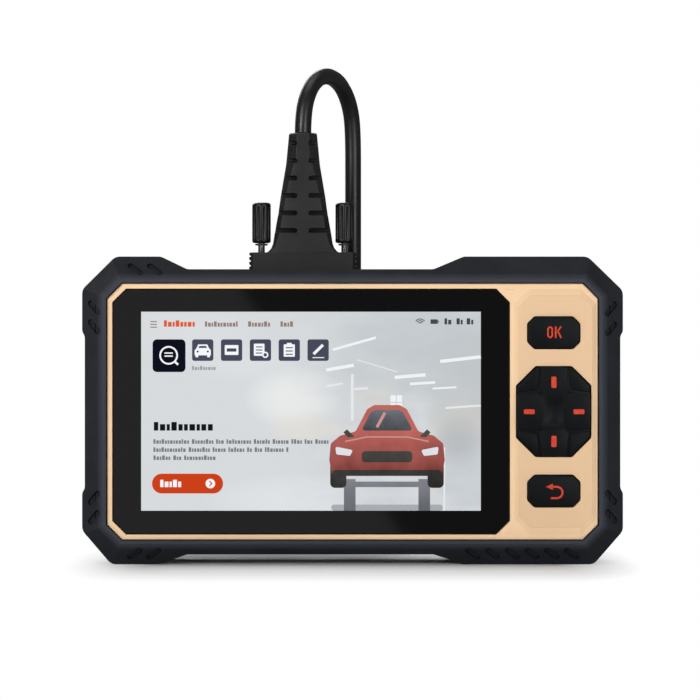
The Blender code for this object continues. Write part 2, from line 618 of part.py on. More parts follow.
def make_plug():
    centre = (PORT_X, 0.0)
    sizes = [
        (HOOD_W, HOOD_D, HOOD_BOTTOM), (HOOD_W, HOOD_D, HOOD_TOP - 0.5), (HOOD_W - 1.0, HOOD_D - 1.0, HOOD_TOP),
        (30.0, 14.4, HOOD_TOP), (26.6, 14.2, HOOD_TOP + 0.7), (25.0, 14.0, HOOD_TOP + 2.6),
        (24.4, 13.8, HOOD_TOP + 5.0), (12.2, 11.6, BOOT_TOP - 0.5), (11.4, 10.8, BOOT_TOP),
    ]
    sections = [(octagon(w, d, 2.6, 0.0, centre), z) for w, d, z in sizes]
    hood = solid("plug_hood", [(sections, "Z")], MOULDING, (PORT_X, 0.0, HOOD_BOTTOM))
    inner, outer, deep = 2.1, 14.0, 3.6
    for face in (-1, 1):
        slots = []
        for i in range(6):
            z = 132.4 + 6.98 * i
            for side in (-1, 1):
                x = sorted((PORT_X + side * inner, PORT_X + side * outer))
                slots.append(block(x, sorted((face * deep, face * 9.0)), (z - 1.05, z + 1.05)))
        cut(hood, "boot_slots_front" if face < 0 else "boot_slots_back", slots)
    ribs = []
    for i in range(3):
        for side in (-1, 1):
            x = sorted((PORT_X + side * (HOOD_W / 2 - 0.7), PORT_X + side * 30.0))
            z = HOOD_TOP - 5.6 + 1.9 * i
            ribs.append(block(x, (-9.0, 9.0), (z, z + 0.8)))
    cut(hood, "hood_ribs", ribs)
    cut(hood, "hood_cavity", [block((PORT_X - 13.4, PORT_X + 13.4), (-5.6, 5.6), (110.0, 121.0))])
    cut(hood, "hood_screw_holes", [post(1.8, (110.0, 126.0), "Z", p, 12) for p in screw_places().values()])

    d_in, d_out = d_shape(24.7, 8.5, 1.2, centre), d_shape(25.8, 9.6, 1.2, centre)
    flange = rounded_box(FLANGE_W, FLANGE_D, 1.2, centre)
    sections = [(d_in, 113.7), (d_in, 109.3), (d_out, 109.3), (d_out, 112.9), (flange, 112.9), (flange, 113.7)]
    shell = solid("plug_shell", [(sections, "Z", True)], STEEL)
    cut(shell, "plug_shell_holes", [post(1.9, (111.0, 115.0), "Z", p, 12) for p in screw_places().values()])
    face, block_outline = d_shape(23.9, 7.7, 1.2, centre), rounded_box(25.6, 10.2, 1.2, centre)
    sections = [(face, 111.8), (face, 114.0), (block_outline, 114.0), (block_outline, 120.5)]
    solid("plug_insert", [(sections, "Z")], WHITE_PLASTIC)


def make_thumb_screws():
    for side, place in screw_places().items():
        knob = [
            (1.7, 141.3), (1.7, KNOB_BOTTOM), (KNOB_R - 0.4, KNOB_BOTTOM), (KNOB_R, KNOB_BOTTOM + 0.4),
            (KNOB_R, KNOB_TOP - 0.4), (KNOB_R - 0.4, KNOB_TOP),
        ]
        origin = (place[0], place[1], KNOB_BOTTOM)
        solid(f"thumb_knob_{side}", [turned(knob, "Z", place, 20)], MOULDING, origin)
        screw = [(1.0, 109.6), (1.35, 110.2), (1.35, 141.0)]
        solid(f"jack_screw_{side}", [turned(screw, "Z", place, 12)], STEEL, origin)
        washer = [(1.7, 126.7), (2.5, 126.7), (2.5, 127.3), (1.7, 127.3)]
        solid(f"screw_washer_{side}", [turned(washer, "Z", place, 12, True)], STEEL, origin)


# ---------------------------------------------------------------- lead


def smooth_route(points, spacing):
    """Points a given distance apart on a smooth curve through the route's own points."""
    knots = [Vector(p) for p in points]
    ends = [2 * knots[0] - knots[1], *knots, 2 * knots[-1] - knots[-2]]
    fine = []
    for i in range(1, len(ends) - 2):
        a, b, c, d = ends[i - 1:i + 3]
        for k in range(20):
            t = k / 20
            fine.append(0.5 * (2 * b + (c - a) * t + (2 * a - 5 * b + 4 * c - d) * t * t
                               + (3 * b - a - 3 * c + d) * t ** 3))
    fine.append(knots[-1])
    total = sum((q - p).length for p, q in zip(fine, fine[1:]))
    step = total / max(1, round(total / spacing))
    out, travelled = [fine[0]], 0.0
    for p, q in zip(fine, fine[1:]):
        travelled += (q - p).length
        if travelled >= step * len(out) and (q - fine[-1]).length > 0.5 * step:
            out.append(q)
    out.append(fine[-1])
    return out


def make_tube(name, points, spacing):
    curve = bpy.data.curves.new(name, "CURVE")
    curve.dimensions = "3D"
    curve.bevel_depth = CORD_D / 2 * MM
    curve.bevel_resolution = 2
    curve.use_fill_caps = True
    route = smooth_route(points, spacing)
    spline = curve.splines.new("POLY")
    spline.points.add(len(route) - 1)
    for knot, place in zip(spline.points, route):
        knot.co = (*(place * MM), 1.0)
    obj = bpy.data.objects.new(name, curve)
    bpy.context.scene.collection.objects.link(obj)
    finish(obj, MOULDING)


def make_lead():
    make_tube("cable_lead", LEAD_POINTS, 1.6 * CORD_D)
    make_tube("cable_tail", TAIL_POINTS, CORD_D)
    edge, side = 2.0, HANK_LOOP_R + BUNDLE / 2
    top = HANK_BOTTOM + BUNDLE
    levels = [(side - edge, HANK_BOTTOM), (side, HANK_BOTTOM + edge), (side, top - edge), (side - edge, top)]
    sections = [(stadium(HANK_HALF_RUN, r, (HANK_X, HANK_Y)), z) for r, z in levels]
    solid("cable_hank", [(sections, "Z")], MOULDING)
    width = 2 * HANK_LOOP_R + BUNDLE + 2 * GAP
    centre = (HANK_Y, HANK_BOTTOM + BUNDLE / 2)
    inner = rounded_box(width, BUNDLE + 2 * GAP, 1.0, centre)
    outer = rounded_box(width + 2, BUNDLE + 2 * GAP + 2, 2.0, centre)
    sections = [(inner, TIE_X[0]), (outer, TIE_X[0]), (outer, TIE_X[1]), (inner, TIE_X[1])]
    solid("hank_tie", [(sections, "X", True)], MOULDING)


def make_vehicle_plug():
    centre = (PLUG_Y, PLUG_Z)
    relief = [(4.6, RELIEF_X), (5.0, RELIEF_X + 0.6), (7.6, BODY_X - GAP)]
    solid("obd_strain_relief", [turned(relief, "X", centre, 16)], MOULDING)
    sizes = [(20.0, 18.0, BODY_X), (34.0, 22.6, BODY_X + 4), (PLUG_W, PLUG_H, BODY_X + 12)]
    sizes.append((PLUG_W, PLUG_H, MOUTH_X))
    body = [(rounded_box(w, h, 4.0, centre), x) for w, h, x in sizes]
    solid("obd_plug_body", [(body, "X")], MOULDING)
    outer = d_shape(40.4, 20.0, 3.0, centre, 2.0)
    inner = d_shape(37.6, 17.2, 3.0, centre, 1.2)
    start = MOUTH_X + GAP
    sections = [(outer, start), (outer, TIP_X), (inner, TIP_X), (inner, start)]
    solid("obd_plug_shroud", [(sections, "X", True)], MOULDING)
    core = d_shape(36.8, 16.4, 3.0, centre, 1.0)
    solid("obd_plug_insert", [([(core, start), (core, start + 5.0)], "X")], MOULDING)


def main():
    for obj in list(bpy.data.objects):
        bpy.data.objects.remove(obj, do_unlink=True)
    make_bumper()
    make_front_shell()
    make_rear_shell()
    make_bezel()
    make_display()
    make_key("ok_key", OK_Z)
    make_key("back_key", BACK_Z)
    make_dpad()
    make_power_key()
    make_switches()
    make_boards()
    make_screws()
    make_ports()
    make_plug()
    make_thumb_screws()
    make_lead()
    make_vehicle_plug()


main()
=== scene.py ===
"""The looks of a handheld OBD code reader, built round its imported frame.

Lengths are in millimetres, as (x, y, z) in the frame: +Z up, and the screen faces -Y.
"""

import math

import bmesh
import bpy
from mathutils import Matrix, Vector


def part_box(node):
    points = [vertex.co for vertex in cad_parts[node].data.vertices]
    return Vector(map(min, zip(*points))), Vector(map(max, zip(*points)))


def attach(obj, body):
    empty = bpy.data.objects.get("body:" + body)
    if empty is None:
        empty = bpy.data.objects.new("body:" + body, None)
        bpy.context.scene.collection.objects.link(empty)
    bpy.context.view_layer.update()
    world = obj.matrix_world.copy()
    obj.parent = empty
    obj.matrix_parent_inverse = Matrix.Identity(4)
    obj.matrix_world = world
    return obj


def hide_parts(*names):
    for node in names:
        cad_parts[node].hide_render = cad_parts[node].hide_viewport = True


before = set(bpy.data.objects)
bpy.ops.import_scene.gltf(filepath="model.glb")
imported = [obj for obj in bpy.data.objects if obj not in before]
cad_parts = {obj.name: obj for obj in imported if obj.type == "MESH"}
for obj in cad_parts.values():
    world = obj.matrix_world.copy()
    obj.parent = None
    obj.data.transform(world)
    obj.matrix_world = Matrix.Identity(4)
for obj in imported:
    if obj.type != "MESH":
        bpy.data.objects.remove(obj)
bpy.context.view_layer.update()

MM = 0.001


def box_mm(node):
    """The lowest and highest corners of a CAD node, in millimetres."""
    return [Vector(corner) * 1000 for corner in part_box(node)]


def middle(box):
    return (box[0] + box[1]) / 2


# Places taken from the frame
GLASS_BOX = box_mm("cover_glass")
BEZEL_BOX = box_mm("bezel_plate")
HOOD_BOX = box_mm("plug_hood")
OK_BOX = box_mm("ok_key")
BACK_BOX = box_mm("back_key")
DPAD_BOX = box_mm("dpad")
RELIEF_BOX = box_mm("obd_strain_relief")
BODY_BOX = box_mm("obd_plug_body")
HANK_BOX = box_mm("cable_hank")
TIE_BOX = box_mm("hank_tie")
KEY_X = middle(OK_BOX).x
KEY_FRONT = OK_BOX[0].y
PORT_X = middle(HOOD_BOX).x

# The plug on top
SCREW_HALF_PITCH = 16.66
THREAD_TOP = 117.0
BOOT_SLOT_LEVELS = [132.4 + 6.98 * i for i in range(6)]

# The cord
CORD_D = 6.5
LEAD_POINTS = [
    (-19.8, 0.0, 171.8), (-19.8, 0.2, 177.5), (-18.6, 2.4, 186.3), (-15.0, 9.3, 194.2),
    (-9.8, 19.6, 197.0), (-4.7, 29.9, 194.2), (-1.0, 36.9, 186.2), (0.3, 39.4, 175.7),
    (0.3, 39.2, 150.0), (0.3, 39.6, 120.0), (0.3, 40.5, 90.0), (0.2, 42.0, 60.0),
    (0.0, 43.8, 38.0), (-1.6, 44.8, 28.0), (-5.6, 45.6, 20.0), (-12.0, 46.0, 14.2), (-20.0, 46.1, 11.6),
]
TAIL_POINTS = [
    (12.2, 91.0, 11.4), (16.0, 90.8, 11.5), (21.0, 89.2, 11.9), (26.0, 87.5, 12.2), (30.0, 87.0, 12.3),
    (35.8, 87.0, 12.3),
]
HANK_HALF_RUN = 31.75
HANK_LOOP_R = 3.5 * CORD_D
BUNDLE = 13.4

# The dim card whose reflection greys the left of the glass, and the line of its slanted edge, in metres
GLARE = 0.42
GLARE_EDGE = (-0.106, 0.144, 0.047, -0.092)


# ---------------------------------------------------------------- outlines


def octagon(width, height, cut, grow=0.0, centre=(0.0, 0.0), cut_v=None):
    """A rectangle with cut corners, grown outwards by grow, as eight (u, v) points."""
    cut_v = cut if cut_v is None else cut_v
    a, b = width / 2 + grow, height / 2 + grow
    keep = 2 - math.sqrt(2)
    c, d = cut + keep * grow, cut_v + keep * grow
    corners = [
        (a, -b + d), (a, b - d), (a - c, b), (-a + c, b),
        (-a, b - d), (-a, -b + d), (-a + c, -b), (a - c, -b),
    ]
    return [(centre[0] + u, centre[1] + v) for u, v in corners]


def rectangle(width, height, centre=(0.0, 0.0)):
    a, b = width / 2, height / 2
    return [(centre[0] + u, centre[1] + v) for u, v in ((-a, -b), (a, -b), (a, b), (-a, b))]


def rounded(corners, radius, steps=4):
    """The same outline with an arc of that radius at each corner."""
    out = []
    for i, corner in enumerate(corners):
        here = Vector(corner)
        back = Vector(corners[i - 1]) - here
        ahead = Vector(corners[(i + 1) % len(corners)]) - here
        half = back.angle(ahead) / 2
        reach = min(radius / math.tan(half), 0.49 * min(back.length, ahead.length))
        r = reach * math.tan(half)
        centre = here + (back.normalized() + ahead.normalized()).normalized() * (r / math.sin(half))
        first = (here + back.normalized() * reach - centre).normalized()
        last = (here + ahead.normalized() * reach - centre).normalized()
        out += [tuple(centre + first.slerp(last, k / steps) * r) for k in range(steps + 1)]
    return out


def rounded_box(width, height, radius, centre=(0.0, 0.0), steps=4):
    return rounded(rectangle(width, height, centre), radius, steps)


def circle(radius, centre=(0.0, 0.0), sides=32):
    turns = [2 * math.pi * i / sides for i in range(sides)]
    return [(centre[0] + radius * math.cos(t), centre[1] + radius * math.sin(t)) for t in turns]


def stroke(points, width):
    """The outline of a pen line of that width through the points."""
    left, right = [], []
    for i, point in enumerate(points):
        here = Vector(point)
        before = Vector(points[max(i - 1, 0)])
        after = Vector(points[min(i + 1, len(points) - 1)])
        a = (here - before).normalized() if i else (after - here).normalized()
        b = (after - here).normalized() if i < len(points) - 1 else a
        mean = (a + b).normalized()
        side = Vector((-mean.y, mean.x)) * (width / 2) / max(0.4, mean.dot(a))
        left.append(tuple(here + side))
        right.append(tuple(here - side))
    return left + right[::-1]


def grown(outline, distance):
    """The outline with each side moved outwards by that distance."""
    area = sum(a[0] * b[1] - b[0] * a[1] for a, b in zip(outline, outline[1:] + outline[:1]))
    sign = 1 if area > 0 else -1
    out = []
    for i, point in enumerate(outline):
        here = Vector(point)
        a = (here - Vector(outline[i - 1])).normalized()
        b = (Vector(outline[(i + 1) % len(outline)]) - here).normalized()
        mean = (a + b).normalized()
        side = Vector((mean.y, -mean.x)) * sign
        out.append(tuple(here + side * distance / max(0.5, mean.dot(a))))
    return out


def moved(outline, u, v):
    return [(point[0] + u, point[1] + v) for point in outline]


def arc(centre, radius, start, end, steps=12):
    turns = [math.radians(start + (end - start) * k / steps) for k in range(steps + 1)]
    return [(centre[0] + radius * math.cos(t), centre[1] + radius * math.sin(t)) for t in turns]


# ---------------------------------------------------------------- solids

ALONG = {
    "X": Matrix(((0, 0, 1), (1, 0, 0), (0, 1, 0))),
    "Y": Matrix(((1, 0, 0), (0, 0, 1), (0, 1, 0))),
    "Z": Matrix(((1, 0, 0), (0, 1, 0), (0, 0, 1))),
}


def add_object(name, data):
    obj = bpy.data.objects.new(name, data)
    bpy.context.scene.collection.objects.link(obj)
    return obj


def add_loft(mesh, sections, axis, ring=False):
    """Skins the (outline, level) sections in order. A ring joins its last section to its first."""
    turn = ALONG[axis]
    loops = []
    for outline, level in sections:
        loops.append([mesh.verts.new(turn @ Vector((u, v, level))) for u, v in outline])
    pairs = list(zip(loops, loops[1:]))
    if ring:
        pairs.append((loops[-1], loops[0]))
    for lower, upper in pairs:
        for i in range(len(lower)):
            j = (i + 1) % len(lower)
            mesh.faces.new((lower[i], lower[j], upper[j], upper[i]))
    if not ring:
        mesh.faces.new(loops[0])
        mesh.faces.new(loops[-1])


def shape(name, lofts, material=None):
    """An object made of lofts, each (sections, axis) or (sections, axis, ring)."""
    work = bmesh.new()
    for entry in lofts:
        add_loft(work, *entry)
    bmesh.ops.recalc_face_normals(work, faces=work.faces)
    bmesh.ops.scale(work, verts=work.verts, vec=(MM, MM, MM))
    mesh = bpy.data.meshes.new(name)
    work.to_mesh(mesh)
    work.free()
    obj = add_object(name, mesh)
    if material:
        mesh.materials.append(material)
    return obj


def carve(obj, lofts, operation="DIFFERENCE"):
    """Cuts or joins a shape and keeps only the result."""
    tool = shape(obj.name + "_tool", lofts)
    step = obj.modifiers.new("cut", "BOOLEAN")
    step.operation = operation
    step.object = tool
    evaluated = obj.evaluated_get(bpy.context.evaluated_depsgraph_get())
    result = bpy.data.meshes.new_from_object(evaluated)
    obj.modifiers.clear()
    obj.data = result
    bpy.data.objects.remove(tool)
    return obj


def soften(obj, width, segments=2, angle=28.0):
    """Rounds the sharp edges and shades the rest smooth."""
    if obj.type == "MESH" and obj.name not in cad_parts:
        obj.data.shade_smooth()
    bevel = obj.modifiers.new("soft_edges", "BEVEL")
    bevel.width = width * MM
    bevel.segments = segments
    bevel.limit_method = "ANGLE"
    bevel.angle_limit = math.radians(angle)
    bevel.use_clamp_overlap = True
    bevel.harden_normals = True
    return obj


def place(obj, body="root", stands_for=()):
    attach(obj, body)
    if stands_for:
        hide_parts(*stands_for)
    return obj


def block(x, y, z):
    """A box between two values on each axis, as a loft."""
    outline = rectangle(x[1] - x[0], y[1] - y[0], ((x[0] + x[1]) / 2, (y[0] + y[1]) / 2))
    return ([(outline, z[0]), (outline, z[1])], "Z")


def smooth(obj, angle):
    """Shades smooth, except across edges sharper than that many degrees."""
    obj.data.shade_smooth()
    obj.data.set_sharp_from_angle(angle=math.radians(angle))


def prism(outline, near, far):
    """A flat-faced prism across Y, as a loft."""
    return ([(outline, near), (outline, far)], "Y")


# ---------------------------------------------------------------- materials


def linear(*values):
    """A display colour, 0 to 255, as scene-linear values."""
    out = []
    for value in values:
        c = value / 255
        out.append(c / 12.92 if c <= 0.04045 else ((c + 0.055) / 1.055) ** 2.4)
    return (*out, 1.0)


class Finish:
    """A Principled material and the nodes that feed it."""

    def __init__(self, name, colour, roughness, metallic=0.0):
        self.material = bpy.data.materials.new(name)
        self.material.use_nodes = True
        self.tree = self.material.node_tree
        self.shader = self.tree.nodes["Principled BSDF"]
        self.colour = colour
        self.roughness = roughness
        self.shader.inputs["Base Color"].default_value = colour
        self.shader.inputs["Roughness"].default_value = roughness
        self.shader.inputs["Metallic"].default_value = metallic
        self.place = self.node("ShaderNodeTexCoord").outputs["Object"]
        self.height = None

    def node(self, kind, **settings):
        made = self.tree.nodes.new(kind)
        for key, value in settings.items():
            setattr(made, key, value)
        return made

    def link(self, source, target):
        self.tree.links.new(source, target)

    def axes(self):
        """The x, y and z of a point, in metres."""
        split = self.node("ShaderNodeSeparateXYZ")
        self.link(self.place, split.inputs[0])
        return split.outputs

    def noise(self, size, detail=3.0, stretch=(1, 1, 1)):
        """Noise whose blotches are about that many millimetres across."""
        mapping = self.node("ShaderNodeMapping")
        mapping.inputs["Scale"].default_value = stretch
        self.link(self.place, mapping.inputs["Vector"])
        made = self.node("ShaderNodeTexNoise")
        made.inputs["Scale"].default_value = 1000.0 / size
        made.inputs["Detail"].default_value = detail
        self.link(mapping.outputs["Vector"], made.inputs["Vector"])
        return made.outputs["Fac"]

    def math(self, operation, a, b=None):
        made = self.node("ShaderNodeMath", operation=operation)
        for socket, value in zip(made.inputs, (a, b)):
            if isinstance(value, (int, float)):
                socket.default_value = value
            elif value is not None:
                self.link(value, socket)
        return made.outputs[0]

    def range(self, value, low, high, to_low, to_high):
        made = self.node("ShaderNodeMapRange")
        self.link(value, made.inputs["Value"])
        for key, number in (("From Min", low), ("From Max", high), ("To Min", to_low), ("To Max", to_high)):
            made.inputs[key].default_value = number
        return made.outputs["Result"]

    def mix(self, factor, first, second):
        """A colour between two colours, each a tuple or a socket."""
        made = self.node("ShaderNodeMix", data_type="RGBA")
        self.link(factor, made.inputs["Factor"])
        for socket, value in ((made.inputs[6], first), (made.inputs[7], second)):
            if isinstance(value, tuple):
                socket.default_value = value
            else:
                self.link(value, socket)
        return made.outputs[2]

    def vary_colour(self, size, amount, tint=(1.0, 1.0, 1.0)):
        """Slow blotches, lighter and darker by amount."""
        dark = (*(c * (1 - amount) for c in self.colour[:3]), 1.0)
        light = (*(c * (1 + amount) * t for c, t in zip(self.colour[:3], tint)), 1.0)
        blotch = self.range(self.noise(size), 0.35, 0.65, 0.0, 1.0)
        self.link(self.mix(blotch, dark, light), self.shader.inputs["Base Color"])
        return self

    def vary_roughness(self, size, amount):
        value = self.range(self.noise(size), 0.3, 0.7, self.roughness - amount, self.roughness + amount)
        self.link(value, self.shader.inputs["Roughness"])
        return self

    def relief(self, height, depth):
        """Adds a bump of that many millimetres."""
        bump = self.node("ShaderNodeBump")
        bump.inputs["Distance"].default_value = depth * MM
        bump.inputs["Strength"].default_value = 1.0
        self.link(height, bump.inputs["Height"])
        if self.height:
            self.link(self.height, bump.inputs["Normal"])
        self.height = bump.outputs["Normal"]
        self.link(self.height, self.shader.inputs["Normal"])
        return self

    def grain(self, size, depth, detail=2.0):
        return self.relief(self.noise(size, detail), depth)


def rubber_finish():
    """Dark rubber, with a painted highlight on the front lip, which is made lighter and bluer there."""
    f = Finish("bumper_rubber", (0.0085, 0.0095, 0.0135, 1.0), 0.44)
    f.shader.inputs["Specular IOR Level"].default_value = 0.36
    f.vary_colour(22.0, 0.16)
    # Painted highlight: the front lip next to the gold plate is painted lighter and bluer, standing in for
    # the light its front-facing face catches.
    lip = BEZEL_BOX[0].y * MM - 0.0003
    painted_lip_highlight = f.range(f.axes()[1], lip + 0.0002, lip + 0.0014, 1.0, 0.0)
    base = f.shader.inputs["Base Color"].links[0].from_socket
    f.link(f.mix(painted_lip_highlight, base, (0.03, 0.034, 0.047, 1.0)), f.shader.inputs["Base Color"])
    f.vary_roughness(9.0, 0.06)
    f.grain(0.55, 0.05)
    f.grain(3.0, 0.05)
    return f.material


def shell_finish():
    f = Finish("shell_plastic", (0.014, 0.015, 0.018, 1.0), 0.5)
    f.vary_colour(30.0, 0.1)
    f.grain(0.7, 0.06)
    return f.material


def gold_finish():
    """Satin champagne paint; the raised key panel's flat face has a fine diagonal weave."""
    f = Finish("bezel_paint", (0.86, 0.60, 0.365, 1.0), 0.5)
    f.shader.inputs["Specular IOR Level"].default_value = 0.3
    f.vary_colour(40.0, 0.04)
    f.vary_roughness(6.0, 0.04)
    f.grain(0.35, 0.012)
    x, y, z = f.axes()
    step = 2 * math.pi / (1.3 * MM)
    rising = f.math("SINE", f.math("MULTIPLY", f.math("ADD", x, z), step))
    falling = f.math("SINE", f.math("MULTIPLY", f.math("SUBTRACT", x, z), step))
    weave = f.math("MULTIPLY", rising, falling)
    front = BEZEL_BOX[0].y * MM
    on_panel = f.range(y, front + 0.00006, front + 0.0001, 1.0, 0.0)
    f.relief(f.math("MULTIPLY", weave, on_panel), 0.035)
    dots = f.math("MULTIPLY", f.range(weave, -1.0, 1.0, 0.0, 1.0), on_panel)
    base = f.shader.inputs["Base Color"].links[0].from_socket
    shade = f.mix(on_panel, base, (0.79, 0.545, 0.33, 1.0))
    f.link(f.mix(dots, shade, (0.74, 0.50, 0.295, 1.0)), f.shader.inputs["Base Color"])
    return f.material


def glass_finish():
    f = Finish("cover_glass", (0.0012, 0.0012, 0.0013, 1.0), 0.045)
    f.vary_colour(60.0, 0.06)
    return f.material


def key_finish():
    f = Finish("key_rubber", (0.0035, 0.0048, 0.0056, 1.0), 0.45)
    f.shader.inputs["Specular IOR Level"].default_value = 0.13
    f.vary_colour(8.0, 0.12)
    f.grain(0.4, 0.02)
    return f.material


def legend_finish():
    f = Finish("key_legend", linear(205, 62, 38), 0.5)
    f.shader.inputs["Specular IOR Level"].default_value = 0.25
    f.vary_colour(1.2, 0.12)
    f.grain(0.3, 0.01)
    return f.material


def plastic_finish(name, colour, roughness, grain_size=0.5, depth=0.02):
    f = Finish(name, (*colour, 1.0), roughness)
    f.shader.inputs["Specular IOR Level"].default_value = 0.32
    f.vary_colour(12.0, 0.12)
    f.vary_roughness(5.0, 0.05)
    f.grain(grain_size, depth)
    return f.material


def cable_finish():
    """A smooth jacket with faint wire lay showing through and a few scuffs."""
    f = Finish("cable_jacket", (0.0065, 0.0065, 0.0072, 1.0), 0.38)
    f.vary_colour(14.0, 0.18)
    f.vary_roughness(6.0, 0.05)
    f.grain(0.5, 0.006)
    return f.material


def metal_finish(name, colour, roughness):
    f = Finish(name, (*colour, 1.0), roughness, 1.0)
    f.vary_colour(3.0, 0.08)
    f.vary_roughness(1.0, 0.06)
    f.grain(0.25, 0.006)
    return f.material


def board_finish():
    f = Finish("circuit_board", (0.025, 0.13, 0.06, 1.0), 0.4)
    f.vary_colour(5.0, 0.25)
    return f.material


def strap_finish():
    """Woven hook-and-loop strap."""
    f = Finish("tie_fabric", (0.018, 0.018, 0.02, 1.0), 0.85)
    f.shader.inputs["Sheen Weight"].default_value = 0.35
    f.vary_colour(2.0, 0.3)
    x, y, z = f.axes()
    step = 2 * math.pi / (0.9 * MM)
    warp = f.math("SINE", f.math("MULTIPLY", x, step))
    weft = f.math("SINE", f.math("MULTIPLY", f.math("ADD", y, z), step))
    f.relief(f.math("MULTIPLY", warp, weft), 0.15)
    return f.material


def lit_finish(name, colour, strength=1.0):
    """A glowing part of the picture under glass."""
    f = Finish(name, (0.0, 0.0, 0.0, 1.0), 0.06)
    f.shader.inputs["Specular IOR Level"].default_value = 0.1
    f.shader.inputs["Emission Color"].default_value = colour
    f.shader.inputs["Emission Strength"].default_value = strength
    return f


def flat_light(name, *rgb):
    return lit_finish(name, linear(*rgb)).material


RUBBER = rubber_finish()
SHELL = shell_finish()
GOLD = gold_finish()
GLASS = glass_finish()
KEY = key_finish()
LEGEND = legend_finish()
MOULDED = plastic_finish("moulded_black", (0.0125, 0.0125, 0.013), 0.5, 0.6, 0.015)
GLOSS_BLACK = plastic_finish("gloss_black", (0.006, 0.006, 0.007), 0.36, 0.6, 0.004)
CABLE = cable_finish()
STEEL = metal_finish("steel", (0.62, 0.62, 0.63), 0.22)
GOLD_PLATE = metal_finish("contact_gold", (0.83, 0.6, 0.27), 0.25)
FOIL = metal_finish("foil", (0.5, 0.51, 0.53), 0.35)
BOARD = board_finish()
STRAP = strap_finish()
WHITE = plastic_finish("white_plastic", (0.7, 0.7, 0.68), 0.4)
PLATE = plastic_finish("plate_grey", (0.07, 0.072, 0.078), 0.35)
FOAM = plastic_finish("foam", (0.02, 0.02, 0.02), 0.9, 0.3, 0.1)
PANEL = plastic_finish("display", (0.03, 0.03, 0.035), 0.25)

NODE_FINISHES = [
    (RUBBER, "bumper_rubber", ["bumper_frame"]),
    (SHELL, "shell_plastic", ["front_housing", "rear_housing"]),
    (GOLD, "bezel_paint", ["bezel_plate"]),
    (GLASS, "cover_glass", ["cover_glass"]),
    (FOAM, "foam", ["glass_gasket"]),
    (PANEL, "display", ["lcd_panel"]),
    (WHITE, "white_plastic", ["lcd_backlight"]),
    (PLATE, "moulded_black", ["rating_plate"]),
    (STEEL, "steel", [
        "lcd_bracket", "dsub_socket", "standoff_left", "standoff_right", "usb_socket", "plug_shell",
        "case_screw_1", "case_screw_2", "case_screw_3", "case_screw_4", "case_screw_5", "case_screw_6",
        "board_screw_1", "board_screw_2", "board_screw_3", "board_screw_4",
        "jack_screw_left", "jack_screw_right",
    ]),
    (BOARD, "circuit_board", ["main_board", "keypad_board"]),
    (MOULDED, "moulded_black", [
        "board_connector", "speaker", "ok_switch", "back_switch", "up_switch", "down_switch", "left_switch",
        "right_switch", "power_switch", "plug_hood", "plug_insert", "obd_strain_relief", "obd_plug_body",
        "obd_plug_shroud", "obd_plug_insert", "thumb_knob_left", "thumb_knob_right",
        "screw_washer_left", "screw_washer_right",
    ]),
    (FOIL, "foil", ["battery"]),
    (KEY, "key_rubber", ["ok_key", "back_key", "power_key", "dpad", "dpad_rocker"]),
    (CABLE, "cable_jacket", ["cable_lead", "cable_hank", "cable_tail"]),
    (STRAP, "tie_fabric", ["hank_tie"]),
]
ROUNDED_EDGES = {
    "bumper_frame": 0.45, "front_housing": 0.25, "rear_housing": 0.3, "bezel_plate": 0.28,
    "cover_glass": 0.12, "plug_hood": 0.35, "obd_strain_relief": 0.3, "obd_plug_body": 0.6,
    "obd_plug_shroud": 0.35, "power_key": 0.3, "rating_plate": 0.1, "usb_socket": 0.12,
    "plug_shell": 0.15, "dsub_socket": 0.15,
}


def finish_nodes():
    """Every carried-over CAD node gets its finish, and the large ones rounded edges."""
    for material, slot, names in NODE_FINISHES:
        for name in names:
            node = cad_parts[name]
            node.data.materials.clear()
            node.data.materials.append(material)
    for name, width in ROUNDED_EDGES.items():
        soften(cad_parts[name], width)


# ---------------------------------------------------------------- cord


def hank_points():
    """The hank's centreline: a racetrack whose strands shift a quarter turn round the bundle each turn."""
    centre = middle(HANK_BOX)
    low = HANK_BOX[0].z + BUNDLE / 2 + 0.05
    offset = (BUNDLE - CORD_D) / 2 - 0.1
    near_y, far_y = centre.y - HANK_LOOP_R, centre.y + HANK_LOOP_R
    left, right = centre.x - HANK_HALF_RUN, centre.x + HANK_HALF_RUN

    def strand(turn):
        angle = math.radians(135 + 90 * turn)
        reach = offset * math.sqrt(2)
        return reach * math.cos(angle), reach * math.sin(angle)

    points = []
    for turn in range(4):
        radial, up = strand(turn)
        start = left + 40 if turn == 0 else right
        for k in range(1, 4):
            x = start + (left - start) * k / 4
            points.append((x, near_y - radial, low + up))
        for k in range(9):
            angle = math.radians(270 - 180 * k / 8)
            r = HANK_LOOP_R + radial
            points.append((left + r * math.cos(angle), centre.y + r * math.sin(angle), low + up))
        if turn == 3:
            break
        for k in range(1, 4):
            points.append((left + (right - left) * k / 4, far_y + radial, low + up))
        for k in range(9):
            a, b = strand(turn + k / 8)
            angle = math.radians(90 - 180 * k / 8)
            r = HANK_LOOP_R + a
            points.append((right + r * math.cos(angle), centre.y + r * math.sin(angle), low + b))
    radial, up = strand(3)
    for k in range(1, 3):
        points.append((left + (right - left - 12) * k / 3, far_y + radial, low + up))
    return points


def make_cord():
    curve = bpy.data.curves.new("cable", "CURVE")
    curve.dimensions = "3D"
    curve.bevel_depth = (CORD_D / 2 + 0.06) * MM
    curve.bevel_resolution = 5
    curve.use_fill_caps = True
    curve.resolution_u = 6
    spline = curve.splines.new("NURBS")
    points = LEAD_POINTS + hank_points() + TAIL_POINTS
    spline.points.add(len(points) - 1)
    for point, place_mm in zip(spline.points, points):
        point.co = (*(c * MM for c in place_mm), 1.0)
    spline.order_u = 3
    spline.use_endpoint_u = True
    curve.materials.append(CABLE)
    cord = add_object("cable", curve)
    place(cord, "root", ["cable_lead", "cable_hank", "cable_tail"])
    return cord


# ---------------------------------------------------------------- keys


